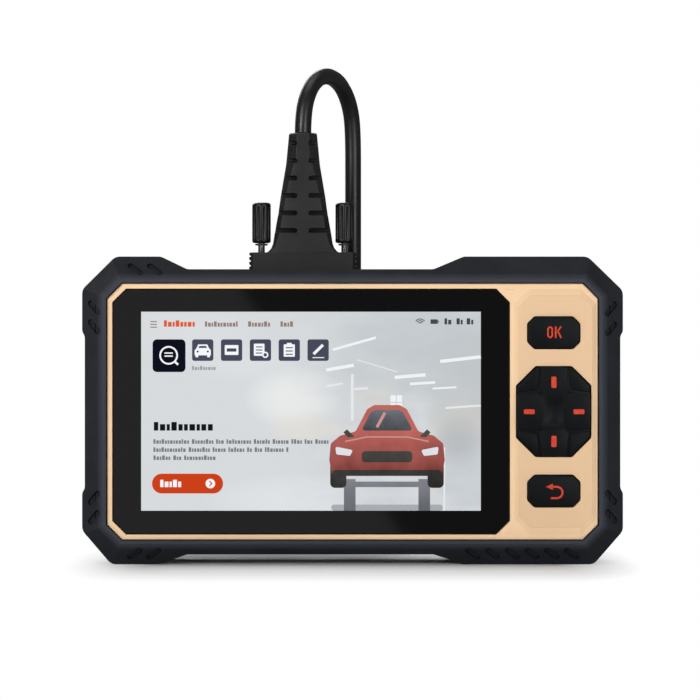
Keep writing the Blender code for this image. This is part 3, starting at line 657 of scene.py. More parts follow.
def cap_sections(outline, back, front, edge):
    """A prism with a rounded front edge."""
    return [
        (outline, back), (outline, front + edge), (grown(outline, -0.12 * edge), front + 0.55 * edge),
        (grown(outline, -0.4 * edge), front + 0.2 * edge), (grown(outline, -edge), front),
    ]


def legend_prism(outline, front, proud=0.03):
    return prism(outline, front + 0.15, front - proud)


def make_key(name, box):
    centre = (middle(box).x, middle(box).z)
    width, height = 20.2, 12.2
    face = rounded(octagon(width, height, 2.6, 0.0, centre), 0.9)
    flange = rounded(octagon(width, height, 2.6, 1.3, centre), 0.9)
    lofts = [
        (cap_sections(face, -13.0, KEY_FRONT, 0.55), "Y"),
        ([(flange, -12.1), (flange, -13.1)], "Y"),
        ([(circle(2.0, centre), -10.9), (circle(2.2, centre), -12.2)], "Y"),
    ]
    key = shape(name + "_cap", lofts, KEY)
    soften(key, 0.12)
    return place(key, name, [name])


def make_ok_legend():
    cx, cz = KEY_X + 0.25, middle(OK_BOX).z + 0.2
    a, b, c = 0.83, 1.98, 0.55
    ring = [
        (-a, 0.0), (-a, b - c), (-a + c, b), (a - c, b), (a, b - c),
        (a, -b + c), (a - c, -b), (-a + c, -b), (-a, -b + c), (-a, -0.02),
    ]
    strokes = [
        moved(stroke(ring, 0.62), cx - 1.75, cz),
        moved(stroke([(0.0, -2.3), (0.0, 2.3)], 0.62), cx + 0.45, cz),
        moved(stroke([(0.25, -0.1), (0.85, 0.45), (2.1, 2.3)], 0.62), cx + 0.45, cz),
        moved(stroke([(0.7, 0.3), (1.25, -0.3), (2.15, -2.3)], 0.62), cx + 0.45, cz),
    ]
    legend = shape("ok_key_legend", [legend_prism(outline, KEY_FRONT) for outline in strokes], LEGEND)
    return place(legend, "ok_key")


def make_back_legend():
    cx, cz = KEY_X, middle(BACK_BOX).z
    hook = [(-0.5, 1.74), (0.6, 1.74)] + arc((1.14, -0.5), 2.24, 90, -90, 14) + [(-1.2, -2.74)]
    head = [(-3.2, 1.74), (-0.4, 3.0), (-0.4, 0.5)]
    outlines = [moved(stroke(hook, 0.78), cx, cz), moved(head, cx, cz)]
    legend = shape("back_key_legend", [legend_prism(outline, KEY_FRONT) for outline in outlines], LEGEND)
    return place(legend, "back_key")


def plus_outline(centre):
    """The raised cross of the D-pad: its arms widen towards the middle, and its inner corners are nipped."""
    quarter = [
        (5.1, 17.55), (5.45, 12.5), (5.95, 9.0), (5.85, 8.1), (5.35, 7.75), (4.75, 7.45), (4.8, 6.95),
        (5.4, 6.75), (6.2, 7.2), (7.0, 7.75), (8.0, 7.7), (11.0, 7.15), (14.45, 6.75),
    ]
    out = [(x, z) for x, z in quarter]
    out += [(x, -z) for x, z in reversed(quarter)]
    out += [(-x, -z) for x, z in quarter]
    out += [(-x, z) for x, z in reversed(quarter)]
    return moved(out, *centre)


def make_dpad():
    centre = (middle(DPAD_BOX).x, middle(DPAD_BOX).z)
    front = DPAD_BOX[0].y
    outer = rounded(octagon(28.9, 35.1, 7.45, 0.0, centre, 7.4), 0.9)
    flange = rounded(octagon(28.9, 35.1, 7.45, 1.2, centre, 7.4), 0.9)
    cross = plus_outline(centre)
    raised = shape("dpad_cross", [(cap_sections(cross, front + 1.6, front, 0.3), "Y")], KEY)
    edge = shape("dpad_edge", [(cap_sections(outer, front + 3.0, front - 0.05, 0.6), "Y")])
    trim = raised.modifiers.new("trim", "BOOLEAN")
    trim.operation = "INTERSECT"
    trim.object = edge
    bpy.context.view_layer.update()
    trimmed = bpy.data.meshes.new_from_object(raised.evaluated_get(bpy.context.evaluated_depsgraph_get()))
    raised.modifiers.clear()
    raised.data = trimmed
    bpy.data.objects.remove(edge)
    dish = rounded_box(6.9, 9.0, 2.9, centre, 6)
    floor = grown(dish, -0.85)
    carve(raised, [([(grown(dish, 0.4), front - 0.4), (dish, front), (floor, front + 0.45)], "Y")])
    base_sections = [
        (outer, front + 1.5), (outer, front + 0.95),
        (grown(outer, -0.2), front + 0.75), (grown(outer, -0.6), front + 0.6),
    ]
    pads = []
    for sx in (-1, 1):
        for sz in (-1, 1):
            corner = [
                (5.55, 17.5), (5.9, 12.6), (6.35, 9.4), (7.35, 8.2), (8.1, 8.15),
                (11.0, 7.6), (14.4, 7.25), (14.4, 10.2), (7.0, 17.5),
            ]
            corner = moved([(x * sx, z * sz) for x, z in corner], *centre)
            tip = moved(circle(0.75, (6.25 * sx, 8.0 * sz), 14), *centre)
            pads.append((cap_sections(grown(corner, -0.35), front + 1.2, front + 0.12, 0.3), "Y"))
            pads.append((cap_sections(tip, front + 1.2, front + 0.2, 0.2), "Y"))
    under = [
        (base_sections, "Y"),
        ([(flange, -11.2), (flange, -12.0)], "Y"),
        ([(grown(outer, -0.1), -11.9), (grown(outer, -0.1), front + 1.4)], "Y"),
    ]
    base = shape("dpad_base", under + pads, KEY)
    soften(base, 0.08)
    soften(raised, 0.1)
    place(raised, "dpad", ["dpad"])
    place(base, "dpad", ["dpad"])
    bars = [
        rounded_box(2.05, 4.5, 0.45, (centre[0], centre[1] + 11.6)),
        rounded_box(2.05, 4.5, 0.45, (centre[0], centre[1] - 11.7)),
        rounded_box(4.3, 1.95, 0.45, (centre[0] - 9.7, centre[1])),
        rounded_box(4.3, 1.95, 0.45, (centre[0] + 9.85, centre[1])),
    ]
    lofts = [(cap_sections(bar, front + 0.2, front - 0.16, 0.12), "Y") for bar in bars]
    marks = shape("dpad_marks", lofts, LEGEND)
    place(marks, "dpad")


# ---------------------------------------------------------------- plug and screws


def make_hood():
    """The D-sub plug's moulding: a ribbed block, and a tapering boot with slotted flanks."""
    cx = PORT_X
    base_low, base_high = HOOD_BOX[0].z, 123.7
    half_w, half_d = (HOOD_BOX[1].x - HOOD_BOX[0].x) / 2, (HOOD_BOX[1].y - HOOD_BOX[0].y) / 2
    cut = 1.6
    outer = rounded([
        (-half_w, -half_d + cut), (-half_w + cut, -half_d), (half_w - cut, -half_d), (half_w, -half_d + cut),
        (half_w, half_d - cut), (half_w - cut, half_d), (-half_w + cut, half_d), (-half_w, half_d - cut),
    ], 0.6, 2)
    outer = moved(outer, cx, 0.0)
    sections = [(outer, base_low), (outer, base_high - 0.4), (grown(outer, -0.4), base_high)]
    hood = shape("hood", [(sections, "Z")], MOULDED)
    holes = [circle(1.8, (cx + side * SCREW_HALF_PITCH, 0.0), 24) for side in (-1, 1)]
    carve(hood, [([(hole, base_low - 1), (hole, 130.0)], "Z") for hole in holes])
    grooves = []
    for side in (-1, 1):
        for i in range(3):
            x = sorted((cx + side * (half_w - 0.7), cx + side * (half_w + 2)))
            grooves.append(block(x, (-half_d - 1, half_d + 1), (118.1 + 1.9 * i, 118.9 + 1.9 * i)))
    carve(hood, grooves)
    soften(hood, 0.2)
    place(hood, "root", ["plug_hood"])

    # Height, half width, half width of the flat, half depth, half depth at the flank
    levels = [
        (123.4, 15.0, 14.0, 6.9, 5.6), (124.2, 13.6, 12.7, 6.9, 5.4), (125.4, 12.6, 11.5, 6.9, 5.1),
        (127.2, 11.9, 10.6, 6.9, 4.8), (131.8, 11.2, 9.2, 6.8, 4.2), (139.5, 9.8, 7.9, 6.6, 3.6),
        (146.1, 8.9, 6.8, 6.4, 3.2), (152.7, 7.8, 5.4, 6.2, 2.8), (158.6, 6.8, 3.8, 6.1, 2.5),
        (161.5, 6.5, 2.6, 6.1, 2.4), (171.0, 5.6, 2.4, 6.0, 2.3), (171.5, 5.2, 2.0, 5.6, 2.0),
    ]
    sections = []
    for z, w, flat, depth, flank in levels:
        side = [(flat, -depth), (w, -flank), (w, flank), (flat, depth)]
        outline = side + [(-x, y) for x, y in reversed(side)]
        sections.append((moved(rounded(outline, 0.5, 2), cx, 0.0), z))
    boot = shape("boot", [(sections, "Z")], MOULDED)
    pockets = []
    for z in BOOT_SLOT_LEVELS:
        for side in (-1, 1):
            for front in (-1, 1):
                slot = rounded_box(16.0, 2.0, 0.95, (cx + side * (2.2 + 8.0), z), 4)
                pockets.append(([(slot, front * 2.4), (slot, front * 9.0)], "Y"))
    carve(boot, pockets)
    soften(boot, 0.14)
    place(boot, "root")
    webs = []
    for i, z in enumerate(BOOT_SLOT_LEVELS):
        reach = 10.75 - 1.1 * i
        webs.append(block((cx - reach, cx + reach), (-3.4, 3.4), (z - 0.14, z + 0.14)))
    web = shape("boot_webs", webs, MOULDED)
    soften(web, 0.05)
    place(web, "root")


def make_thumb_screw(side):
    body = "thumb_screw_" + side
    box = box_mm("thumb_knob_" + side)
    centre = (middle(box).x, middle(box).y)
    r = (box[1].x - box[0].x) / 2
    low, high = box[0].z, box[1].z
    flutes, steps = 10, 10

    def ribbed(depth, shrink=0.0):
        out = []
        for i in range(flutes * steps):
            turn = 2 * math.pi * i / (flutes * steps)
            ridge = abs(math.sin(turn * flutes / 2)) ** 0.6
            radius = r - shrink - depth * (1 - ridge)
            out.append((centre[0] + radius * math.cos(turn), centre[1] + radius * math.sin(turn)))
        return out

    knob = shape("knob_" + side, [([
        (ribbed(0.0, 1.2), low), (ribbed(0.0, 0.5), low + 0.15), (ribbed(0.0, 0.15), low + 0.5),
        (ribbed(0.0, 0.1), low + 1.1), (ribbed(0.55), low + 1.7), (ribbed(0.55), high - 2.0),
        (ribbed(0.0, 0.1), high - 1.4), (ribbed(0.0, 0.15), high - 0.7), (ribbed(0.0, 0.5), high - 0.25),
        (ribbed(0.0, 1.2), high),
    ], "Z")], GLOSS_BLACK)
    slot_x, slot_y = (centre[0] - 3.0, centre[0] + 3.0), (centre[1] - 0.45, centre[1] + 0.45)
    carve(knob, [block(slot_x, slot_y, (high - 1.1, high + 1))])
    smooth(knob, 50)
    place(knob, body, ["thumb_knob_" + side])
    rod_box = box_mm("jack_screw_" + side)
    tip, root, crest = (circle(radius, centre, 28) for radius in (0.9, 1.1, 1.35))
    sections = [(tip, rod_box[0].z)]
    z = rod_box[0].z + 0.3
    while z < THREAD_TOP:
        sections += [(crest, z), (root, z + 0.3)]
        z += 0.6
    sections += [(root, z), (crest, z + 0.4), (crest, rod_box[1].z)]
    rod = shape("jack_" + side, [(sections, "Z")], STEEL)
    smooth(rod, 40)
    place(rod, body, ["jack_screw_" + side])


def make_case_screws():
    for i in range(1, 7):
        name = "case_screw_" + str(i)
        box = box_mm(name)
        centre = (middle(box).x, middle(box).z)
        back, r = box[1].y, (box[1].x - box[0].x) / 2
        profile = [
            (0.6, box[0].y), (1.25, box[0].y + 1.0), (1.25, back - 2.0), (r, back - 2.0), (r, back - 0.9),
            (r - 0.25, back - 0.4), (r - 0.8, back - 0.1), (r - 1.4, back),
        ]
        sections = [(circle(radius, centre, 32), y) for radius, y in profile]
        screw = shape("screw_" + str(i), [(sections, "Y")], STEEL)
        turn = math.radians(17 * i)
        arms = []
        for angle in (turn, turn + math.pi / 2):
            along = Vector((math.cos(angle), math.sin(angle)))
            bar = stroke([tuple(Vector(centre) - along * 1.55), tuple(Vector(centre) + along * 1.55)], 0.62)
            small = stroke([tuple(Vector(centre) - along * 0.7), tuple(Vector(centre) + along * 0.7)], 0.4)
            arms.append(([(small, back - 1.3), (bar, back + 0.3)], "Y"))
        carve(screw, arms[:1])
        carve(screw, arms[1:])
        smooth(screw, 40)
        place(screw, "root", [name])


def make_vehicle_plug():
    axis_y, axis_z = middle(RELIEF_BOX).y, middle(RELIEF_BOX).z
    centre = (axis_y, axis_z)
    x0, x1 = RELIEF_BOX[0].x, RELIEF_BOX[1].x
    r1 = (RELIEF_BOX[1].y - RELIEF_BOX[0].y) / 2
    ribs = 8
    sections = [(circle(3.9, centre, 36), x0)]
    for i in range(ribs):
        a = x0 + (x1 - x0) * i / ribs
        b = x0 + (x1 - x0) * (i + 0.62) / ribs
        r = 4.6 + (r1 - 4.6) * i / (ribs - 1)
        rib = [(r - 0.25, a + 0.05), (r, a + 0.3), (r, b - 0.2), (r - 0.3, b), (r - 1.0, b + 0.12)]
        sections += [(circle(radius, centre, 36), x) for radius, x in rib]
        if i < ribs - 1:
            sections.append((circle(r - 0.95, centre, 36), a + (x1 - x0) / ribs - 0.1))
    sections.append((circle(r1 - 1.1, centre, 36), x1))
    relief = shape("strain_relief", [(sections, "X")], MOULDED)
    smooth(relief, 50)
    place(relief, "root", ["obd_strain_relief"])

    low, high = BODY_BOX[0], BODY_BOX[1]
    width, height = high.y - low.y, high.z - low.z
    start = low.x

    def section(w, h, radius):
        return rounded_box(w, h, radius, centre, 5)

    sections = [
        (section(15.5, 14.5, 6.0), start), (section(18.5, 17.0, 6.0), start + 0.6),
        (section(22.0, 19.0, 5.6), start + 2.0), (section(30.0, 21.5, 5.2), start + 4.5),
        (section(38.5, 23.0, 4.6), start + 7.5), (section(43.6, 23.7, 4.2), start + 10.0),
        (section(width, height, 3.8), start + 12.5), (section(width, height, 3.8), high.x - 0.7),
        (section(width - 0.5, height - 0.5, 3.6), high.x - 0.2),
        (section(width - 1.6, height - 1.6, 3.2), high.x),
    ]
    lofts = [(sections, "X")]
    for i in range(5):
        x = start + 10.6 + 2.3 * i
        reach = 11.0 - 0.9 * abs(i - 2)
        for z in (low.z + 0.5, high.z - 0.5):
            rib = rounded_box(2 * reach, 1.5, 0.7, (axis_y, z), 3)
            slim = grown(rib, -0.35)
            lofts.append(([(slim, x), (rib, x + 0.3), (rib, x + 0.9), (slim, x + 1.2)], "X"))
    body = shape("vehicle_plug_body", lofts, MOULDED)
    smooth(body, 40)
    place(body, "root", ["obd_plug_body"])

    blades = []
    x = 89.0
    for row in (-4.3, 4.3):
        for i in range(8):
            y, z = axis_y - 14 + 4 * i, axis_z + row
            blade = rounded_box(1.6, 0.65, 0.15, (y, z), 2)
            blades.append(([(blade, x), (blade, x + 7.6), (grown(blade, -0.28), x + 8.6)], "X"))
    contacts = shape("vehicle_plug_contacts", blades, GOLD_PLATE)
    place(contacts, "root")


def make_tie():
    """A hook-and-loop strap round the hank, which dips between the runs, with its end lapped on top."""
    low, high = TIE_BOX
    mid = middle(TIE_BOX).y
    half = (high.y - low.y) / 2 - 0.2

    def band(grow):
        out = []
        count = 22
        for i in range(count + 1):
            y = mid - half + 3.6 + (2 * half - 7.2) * i / count
            dip = 1.5 * math.cos((y - mid) / (half + 4) * math.pi / 2) ** 2
            out.append((y, high.z - 1.5 - dip + grow))
        edge, r = mid + half - 3.6, 3.6 + grow
        right = [(edge + r * math.sin(t), high.z - 5.1 + r * math.cos(t)) for t in (0.35, 0.7, 1.05, 1.4)]
        lower_right = [(edge + r * math.cos(t), low.z + 5.0 - r * math.sin(t)) for t in (0.2, 0.6, 1.0, 1.35)]
        bottom = [(edge - (2 * half - 7.2) * i / 8, low.z + 1.4 - grow) for i in range(9)]
        lower_left = [(2 * mid - y, z) for y, z in reversed(lower_right)]
        left = [(2 * mid - y, z) for y, z in reversed(right)]
        return out + right + lower_right + bottom + lower_left + left

    x0, x1 = low.x + 0.4, high.x - 0.4
    ring = [
        (band(0.0), x0), (band(1.1), x0 + 0.25), (band(1.25), x0 + 1.0),
        (band(1.25), x1 - 1.0), (band(1.1), x1 - 0.25), (band(0.0), x1),
    ]
    lap_top = [(y, z + 0.9) for y, z in band(1.25)[:14]]
    lap = lap_top + [(y, z - 0.9) for y, z in reversed(lap_top)]
    tie = shape("tie_strap", [(ring, "X", True), ([(lap, x0 + 0.6), (lap, x1 - 0.6)], "X")], STRAP)
    soften(tie, 0.2)
    place(tie, "root", ["hank_tie"])
    return tie


def make_bezel_marks():
    """Two small raised triangles in the corners between the screen and the key panel."""
    face = BEZEL_BOX[1].y - 1.6
    marks = [[(59.6, 108.9), (64.6, 108.9), (62.1, 106.1)], [(59.4, 12.2), (65.0, 12.2), (62.2, 15.0)]]
    outlines = [rounded(mark, 0.3, 2) for mark in marks]
    lofts = [([(outline, face + 0.1), (grown(outline, -0.3), face - 0.14)], "Y") for outline in outlines]
    triangles = shape("bezel_triangles", lofts, GOLD)
    place(triangles)


def make_usb_tongue():
    box = box_mm("usb_socket")
    x, y, top = middle(box).x, middle(box).y, box[1].z
    outline = rounded_box(6.4, 0.7, 0.25, (x, y))
    tongue = shape("usb_tongue", [([(outline, top - 6.0), (outline, top - 1.0)], "Z")], MOULDED)
    place(tongue)


# ---------------------------------------------------------------- the picture on the screen

SCREEN_LEFT, SCREEN_TOP = -83.4, 99.9
SCREEN_WIDTH, SCREEN_HEIGHT = 134.0, 78.5


def on_screen(outline):
    """Millimetres right of and below the picture's top left corner, as (x, z)."""
    return [(SCREEN_LEFT + u, SCREEN_TOP - v) for u, v in outline]


def picture(name, outlines, material, layer):
    front = GLASS_BOX[0].y - 0.012 * layer
    lofts = [prism(on_screen(outline), GLASS_BOX[0].y + 0.02, front) for outline in outlines]
    return place(shape(name, lofts, material))


def word(letters, left, right, top, bottom, phase=0):
    """A run of plain blocks in place of lettering, of uneven widths, a few of them taller."""
    shares = [1.0 + 0.28 * math.sin(2.4 * i + 1.7 * phase) for i in range(letters)]
    unit = (right - left) / sum(shares)
    out, u = [], left
    for i, share in enumerate(shares):
        tall = i == 0 or (i * 3 + phase) % 7 == 2
        width = share * unit
        upper = top if tall else top + 0.25 * (bottom - top)
        out.append(rectangle(width * 0.74, bottom - upper, (u + width / 2, (upper + bottom) / 2)))
        u += width
    return out


def sentence(counts, left, right, top, bottom):
    units = sum(counts) + 0.75 * (len(counts) - 1)
    pitch = (right - left) / units
    out, u = [], left
    for i, count in enumerate(counts):
        out += word(count, u, u + count * pitch, top, bottom, i)
        u += (count + 0.75) * pitch
    return out


def backdrop_finish():
    """A pale, blurred workshop: a grey ceiling at the right, bright haze in the middle, a pale floor."""
    f = lit_finish("picture_backdrop", linear(214, 218, 222))
    x, y, z = f.axes()
    u = f.math("SUBTRACT", f.math("MULTIPLY", x, 1000.0), SCREEN_LEFT)
    v = f.math("SUBTRACT", SCREEN_TOP, f.math("MULTIPLY", z, 1000.0))
    colour = linear(214, 218, 221)
    # Centre and radii on the screen, display colour, strength
    spots = [
        (112, 12, 46, 24, (196, 202, 206), 0.9), (134, 30, 26, 30, (190, 194, 196), 0.75),
        (96, 26, 24, 12, (203, 207, 209), 0.7), (60, 34, 20, 13, (236, 237, 236), 0.9),
        (66, 46, 18, 6, (229, 223, 214), 0.7), (40, 20, 24, 8, (224, 227, 230), 0.6),
        (126, 44, 14, 11, (206, 201, 194), 0.8), (125, 53, 11, 13, (176, 180, 184), 0.75),
        (128, 66, 14, 12, (200, 205, 210), 0.7), (92, 34, 14, 6, (218, 216, 210), 0.7),
        (60, 74, 36, 10, (226, 230, 234), 0.7), (20, 8, 30, 14, (222, 224, 228), 0.6),
    ]
    for cu, cv, ru, rv, rgb, strength in spots:
        du = f.math("DIVIDE", f.math("SUBTRACT", u, cu), ru)
        dv = f.math("DIVIDE", f.math("SUBTRACT", v, cv), rv)
        reach = f.math("ADD", f.math("MULTIPLY", du, du), f.math("MULTIPLY", dv, dv))
        colour = f.mix(f.range(reach, 0.0, 1.0, strength, 0.0), colour, linear(*rgb))
    patches = f.range(f.noise(16.0, 4.0, (1, 1, 2.2)), 0.35, 0.7, 0.0, 0.5)
    blotch = f.math("MULTIPLY", patches, f.range(u, 55.0, 90.0, 0.0, 1.0))
    colour = f.mix(blotch, colour, linear(190, 195, 200))
    f.link(colour, f.shader.inputs["Emission Color"])
    return f.material


def make_picture():
    backdrop = rectangle(SCREEN_WIDTH, SCREEN_HEIGHT, (SCREEN_WIDTH / 2, SCREEN_HEIGHT / 2))
    picture("picture_backdrop", [backdrop], backdrop_finish(), 1)

    bright = flat_light("picture_bright", 240, 243, 245)
    haze = flat_light("picture_haze", 229, 232, 234)
    streaks = [
        ((75.6, 15.0), (92.6, 10.2), 1.0), ((73.0, 23.0), (83.9, 21.1), 1.3),
        ((100.0, 25.9), (112.2, 24.9), 1.3), ((106.0, 28.5), (116.0, 27.9), 1.0),
        ((115.0, 30.3), (124.4, 29.8), 0.7), ((118.0, 19.6), (134.0, 17.8), 1.3),
    ]
    faint = [
        ((84.0, 30.5), (89.5, 30.2), 0.9), ((73.0, 29.4), (79.4, 28.3), 0.8),
        ((54.0, 27.9), (60.0, 27.4), 0.8), ((85.0, 18.9), (101.0, 23.7), 0.4),
        ((60.5, 31.1), (66.5, 30.8), 0.8), ((120.0, 38.0), (134.0, 37.0), 0.8),
    ]
    picture("picture_ceiling_lights", [stroke([a, b], w) for a, b, w in streaks], bright, 2)
    columns = [rectangle(1.1, 18.3, (83.3, 33.8)), rectangle(0.7, 25.0, (119.6, 66.0))]
    picture("picture_faint_lights", [stroke([a, b], w) for a, b, w in faint] + columns, haze, 2)
    panes = [rectangle(2.1, 2.6, (99.4 + 2.5 * i, 34.3 + 3.0 * j)) for i in range(2) for j in range(2)]
    picture("picture_window", panes, bright, 2)

    orange = flat_light("picture_orange", 226, 88, 44)
    pill = flat_light("picture_pill", 203, 62, 18)
    brown = flat_light("picture_brown", 150, 126, 118)
    ink = flat_light("picture_ink", 16, 16, 18)
    grey = flat_light("picture_grey", 158, 160, 166)
    navy = flat_light("picture_navy", 5, 6, 24)
    slate = flat_light("picture_slate", 70, 73, 90)
    white = flat_light("picture_white", 246, 247, 250)

    bars = [stroke([(3.6, v), (6.2, v)], 0.42) for v in (3.9, 5.0, 6.1)]
    picture("picture_menu", bars, brown, 3)
    picture("picture_tab_open", word(8, 8.8, 21.3, 3.4, 5.9), orange, 3)
    tabs = word(11, 25.0, 38.2, 3.8, 5.9) + word(7, 42.0, 51.0, 3.8, 5.9, 1) + word(4, 54.8, 60.1, 3.8, 5.9)
    picture("picture_tabs", tabs, brown, 3)

    wifi = [stroke(arc((110.1, 5.0), r, 215, 325, 8), 0.34) for r in (0.75, 1.45, 2.15)]
    battery = [rounded_box(2.9, 1.8, 0.3, (115.6, 3.9), 2), rectangle(0.3, 0.8, (117.3, 3.9))]
    clock = word(2, 119.5, 122.6, 2.6, 5.0)
    clock += word(2, 124.2, 127.0, 2.6, 5.0, 1) + word(2, 128.2, 131.2, 2.6, 5.0, 1)
    picture("picture_status", wifi + battery + clock, flat_light("picture_status_ink", 70, 72, 78), 3)

    picture("picture_tile_large", [rounded_box(13.0, 12.9, 1.7, (11.0, 17.35), 6)], navy, 3)
    tile_u = [24.3 + 11.38 * i for i in range(5)]
    picture("picture_tiles", [rounded_box(8.4, 8.5, 0.9, (u, 15.15), 4) for u in tile_u], slate, 3)
    picture("picture_tile_word", word(9, 19.9, 29.5, 21.4, 23.0), grey, 3)

    ring = stroke(arc((10.85, 17.2), 3.35, 52, 409, 40), 0.66)
    handle = stroke([(13.0, 19.4), (14.6, 20.9)], 0.8)
    lines = [stroke([(9.2, v), (12.5, v)], 0.5) for v in (16.3, 17.5)]
    car = [
        (21.1, 17.2), (21.1, 15.2), (21.9, 14.3), (22.5, 12.9),
        (26.1, 12.9), (26.7, 14.3), (27.5, 15.2), (27.5, 17.2),
    ]
    wheels = [rectangle(1.1, 0.9, (22.0, 17.5)), rectangle(1.1, 0.9, (26.6, 17.5))]
    badge = rounded_box(5.4, 3.9, 0.3, (tile_u[1], 15.1), 2)
    sheet = rounded_box(4.2, 4.8, 0.3, (tile_u[2] - 0.5, 15.0), 2)
    dot = circle(1.25, (tile_u[2] + 1.9, 17.0), 16)
    board = rounded_box(4.4, 4.9, 0.3, (tile_u[3], 15.3), 2)
    clip = rectangle(1.9, 1.0, (tile_u[3], 12.8))
    pen = stroke([(tile_u[4] - 1.8, 16.7), (tile_u[4] + 1.9, 13.1)], 1.1)
    line = stroke([(tile_u[4] - 2.2, 18.1), (tile_u[4] + 2.4, 18.1)], 0.35)
    icons = [ring, handle, car, badge, sheet, dot, board, clip, pen, line] + lines + wheels
    picture("picture_icons", icons, white, 4)
    cuts = [
        [(22.6, 14.3), (23.0, 13.5), (25.6, 13.5), (26.0, 14.3)],
        circle(0.42, (22.3, 15.7), 10), circle(0.42, (26.3, 15.7), 10),
        stroke([(tile_u[1] - 1.9, 15.1), (tile_u[1] + 1.9, 15.1)], 1.3),
        circle(0.7, (tile_u[2] + 1.9, 17.0), 12),
    ]
    cuts += [stroke([(tile_u[2] - 1.8, v), (tile_u[2] + 0.8, v)], 0.42) for v in (13.9, 15.1, 16.3)]
    cuts += [stroke([(tile_u[3] - 1.4, v), (tile_u[3] + 1.4, v)], 0.42) for v in (14.2, 15.5, 16.8)]
    picture("picture_icon_details", cuts, slate, 5)

    picture("picture_title", word(10, 4.7, 28.6, 43.5, 46.9), ink, 3)
    text = sentence([13, 8, 3, 9, 6, 6, 4, 3, 5], 4.7, 74.0, 50.3, 52.1)
    text += sentence([12, 8, 5, 6, 2, 3, 7, 1], 4.7, 58.2, 53.5, 55.3)
    text += sentence([6, 3, 11], 4.7, 29.5, 56.7, 58.5)
    picture("picture_paragraph", text, flat_light("picture_text", 122, 124, 130), 3)

    picture("picture_button", [rounded_box(28.0, 7.8, 3.85, (18.3, 67.8), 10)], pill, 3)
    picture("picture_button_word", word(5, 7.3, 16.0, 66.3, 69.2) + [circle(1.9, (27.3, 67.8), 24)], white, 4)
    picture("picture_button_arrow", [stroke([(26.9, 66.8), (27.9, 67.8), (26.9, 68.8)], 0.45)], pill, 5)
    make_picture_car()


def shaded_light(name, top, bottom, v_top, v_bottom):
    """A glowing colour that changes down the screen."""
    f = lit_finish(name, linear(*top))
    v = f.math("SUBTRACT", SCREEN_TOP, f.math("MULTIPLY", f.axes()[2], 1000.0))
    blotch = f.range(f.noise(9.0), 0.3, 0.7, -0.2, 0.2)
    factor = f.math("ADD", f.range(v, v_top, v_bottom, 0.0, 1.0), blotch)
    f.link(f.mix(factor, linear(*top), linear(*bottom)), f.shader.inputs["Emission Color"])
    return f.material


def make_picture_car():
    """A plain car on a workshop lift, in place of the picture's figure."""
    red = shaded_light("picture_red", (190, 104, 96), (120, 58, 54), 44, 66)
    dark = shaded_light("picture_dark", (84, 82, 78), (42, 40, 40), 40, 72)
    steel = shaded_light("picture_steel", (132, 133, 140), (100, 102, 110), 64, 78)
    glass = shaded_light("picture_screen_glass", (116, 120, 126), (62, 64, 70), 37, 48)
    pale = flat_light("picture_pale", 222, 226, 230)
    shadow = flat_light("picture_shadow", 168, 172, 178)
    picture("picture_car_shadow", [rounded_box(44.0, 2.4, 1.1, (97.0, 77.3), 4)], shadow, 2)
    picture("picture_lift", [
        [(80.0, 78.5), (80.0, 66.0), (84.6, 66.0), (84.6, 78.5)],
        [(109.4, 78.5), (109.4, 66.0), (114.0, 66.0), (114.0, 78.5)],
        [(76.0, 69.2), (76.0, 67.0), (118.0, 67.0), (118.0, 69.2)],
    ], steel, 3)
    picture("picture_wheels", [rounded_box(6.4, 13.0, 1.8, (u, 63.0), 4) for u in (77.8, 116.2)], dark, 4)
    body = [
        (75.4, 64.5), (74.2, 58.5), (74.8, 52.0), (78.5, 48.9), (84.6, 47.2),
        (89.2, 38.4), (92.0, 36.8), (102.0, 36.8), (104.8, 38.4),
        (109.4, 47.2), (115.5, 48.9), (119.2, 52.0), (119.8, 58.5), (118.6, 64.5),
    ]
    picture("picture_car_body", [rounded(body, 1.6, 4)], red, 5)
    screen = [(86.8, 46.9), (90.6, 39.7), (92.4, 38.7), (101.6, 38.7), (103.4, 39.7), (107.2, 46.9)]
    picture("picture_car_glass", [rounded(screen, 0.8, 3)], glass, 6)
    picture("picture_car_trim", [
        rounded_box(20.0, 4.4, 1.4, (97.0, 57.2), 4), rounded_box(43.0, 2.4, 1.1, (97.0, 63.6), 4),
        [(84.2, 49.3), (83.0, 48.2), (81.2, 46.4), (79.8, 47.6), (81.6, 49.6)],
        [(109.8, 49.3), (111.0, 48.2), (112.8, 46.4), (114.2, 47.6), (112.4, 49.6)],
    ], dark, 6)
    lamps = [rounded([(76.6, 53.2), (83.6, 54.6), (82.4, 56.9), (77.0, 56.3)], 0.6, 3)]
    lamps.append([(194.0 - u, v) for u, v in lamps[0]])
    picture("picture_car_lamps", lamps, pale, 6)
    shine = [
        stroke([(80.5, 51.2), (89.0, 49.4), (105.0, 49.4), (113.5, 51.2)], 0.5),
        stroke([(93.0, 45.6), (96.2, 39.8)], 1.1),
    ]
    picture("picture_car_shine", shine, flat_light("picture_shine", 206, 150, 144), 7)


# ---------------------------------------------------------------- studio


def area_light(name, at, look_at, size, power, colour=(1, 1, 1)):
    data = bpy.data.lights.new(name, "AREA")
    data.shape = "RECTANGLE"
    data.size, data.size_y = size
    data.energy = power
    data.color = colour
    light = add_object(name, data)
    light.location = at
    light.rotation_euler = (Vector(look_at) - Vector(at)).to_track_quat("-Z", "Y").to_euler()
    light.visible_camera = False
    return light


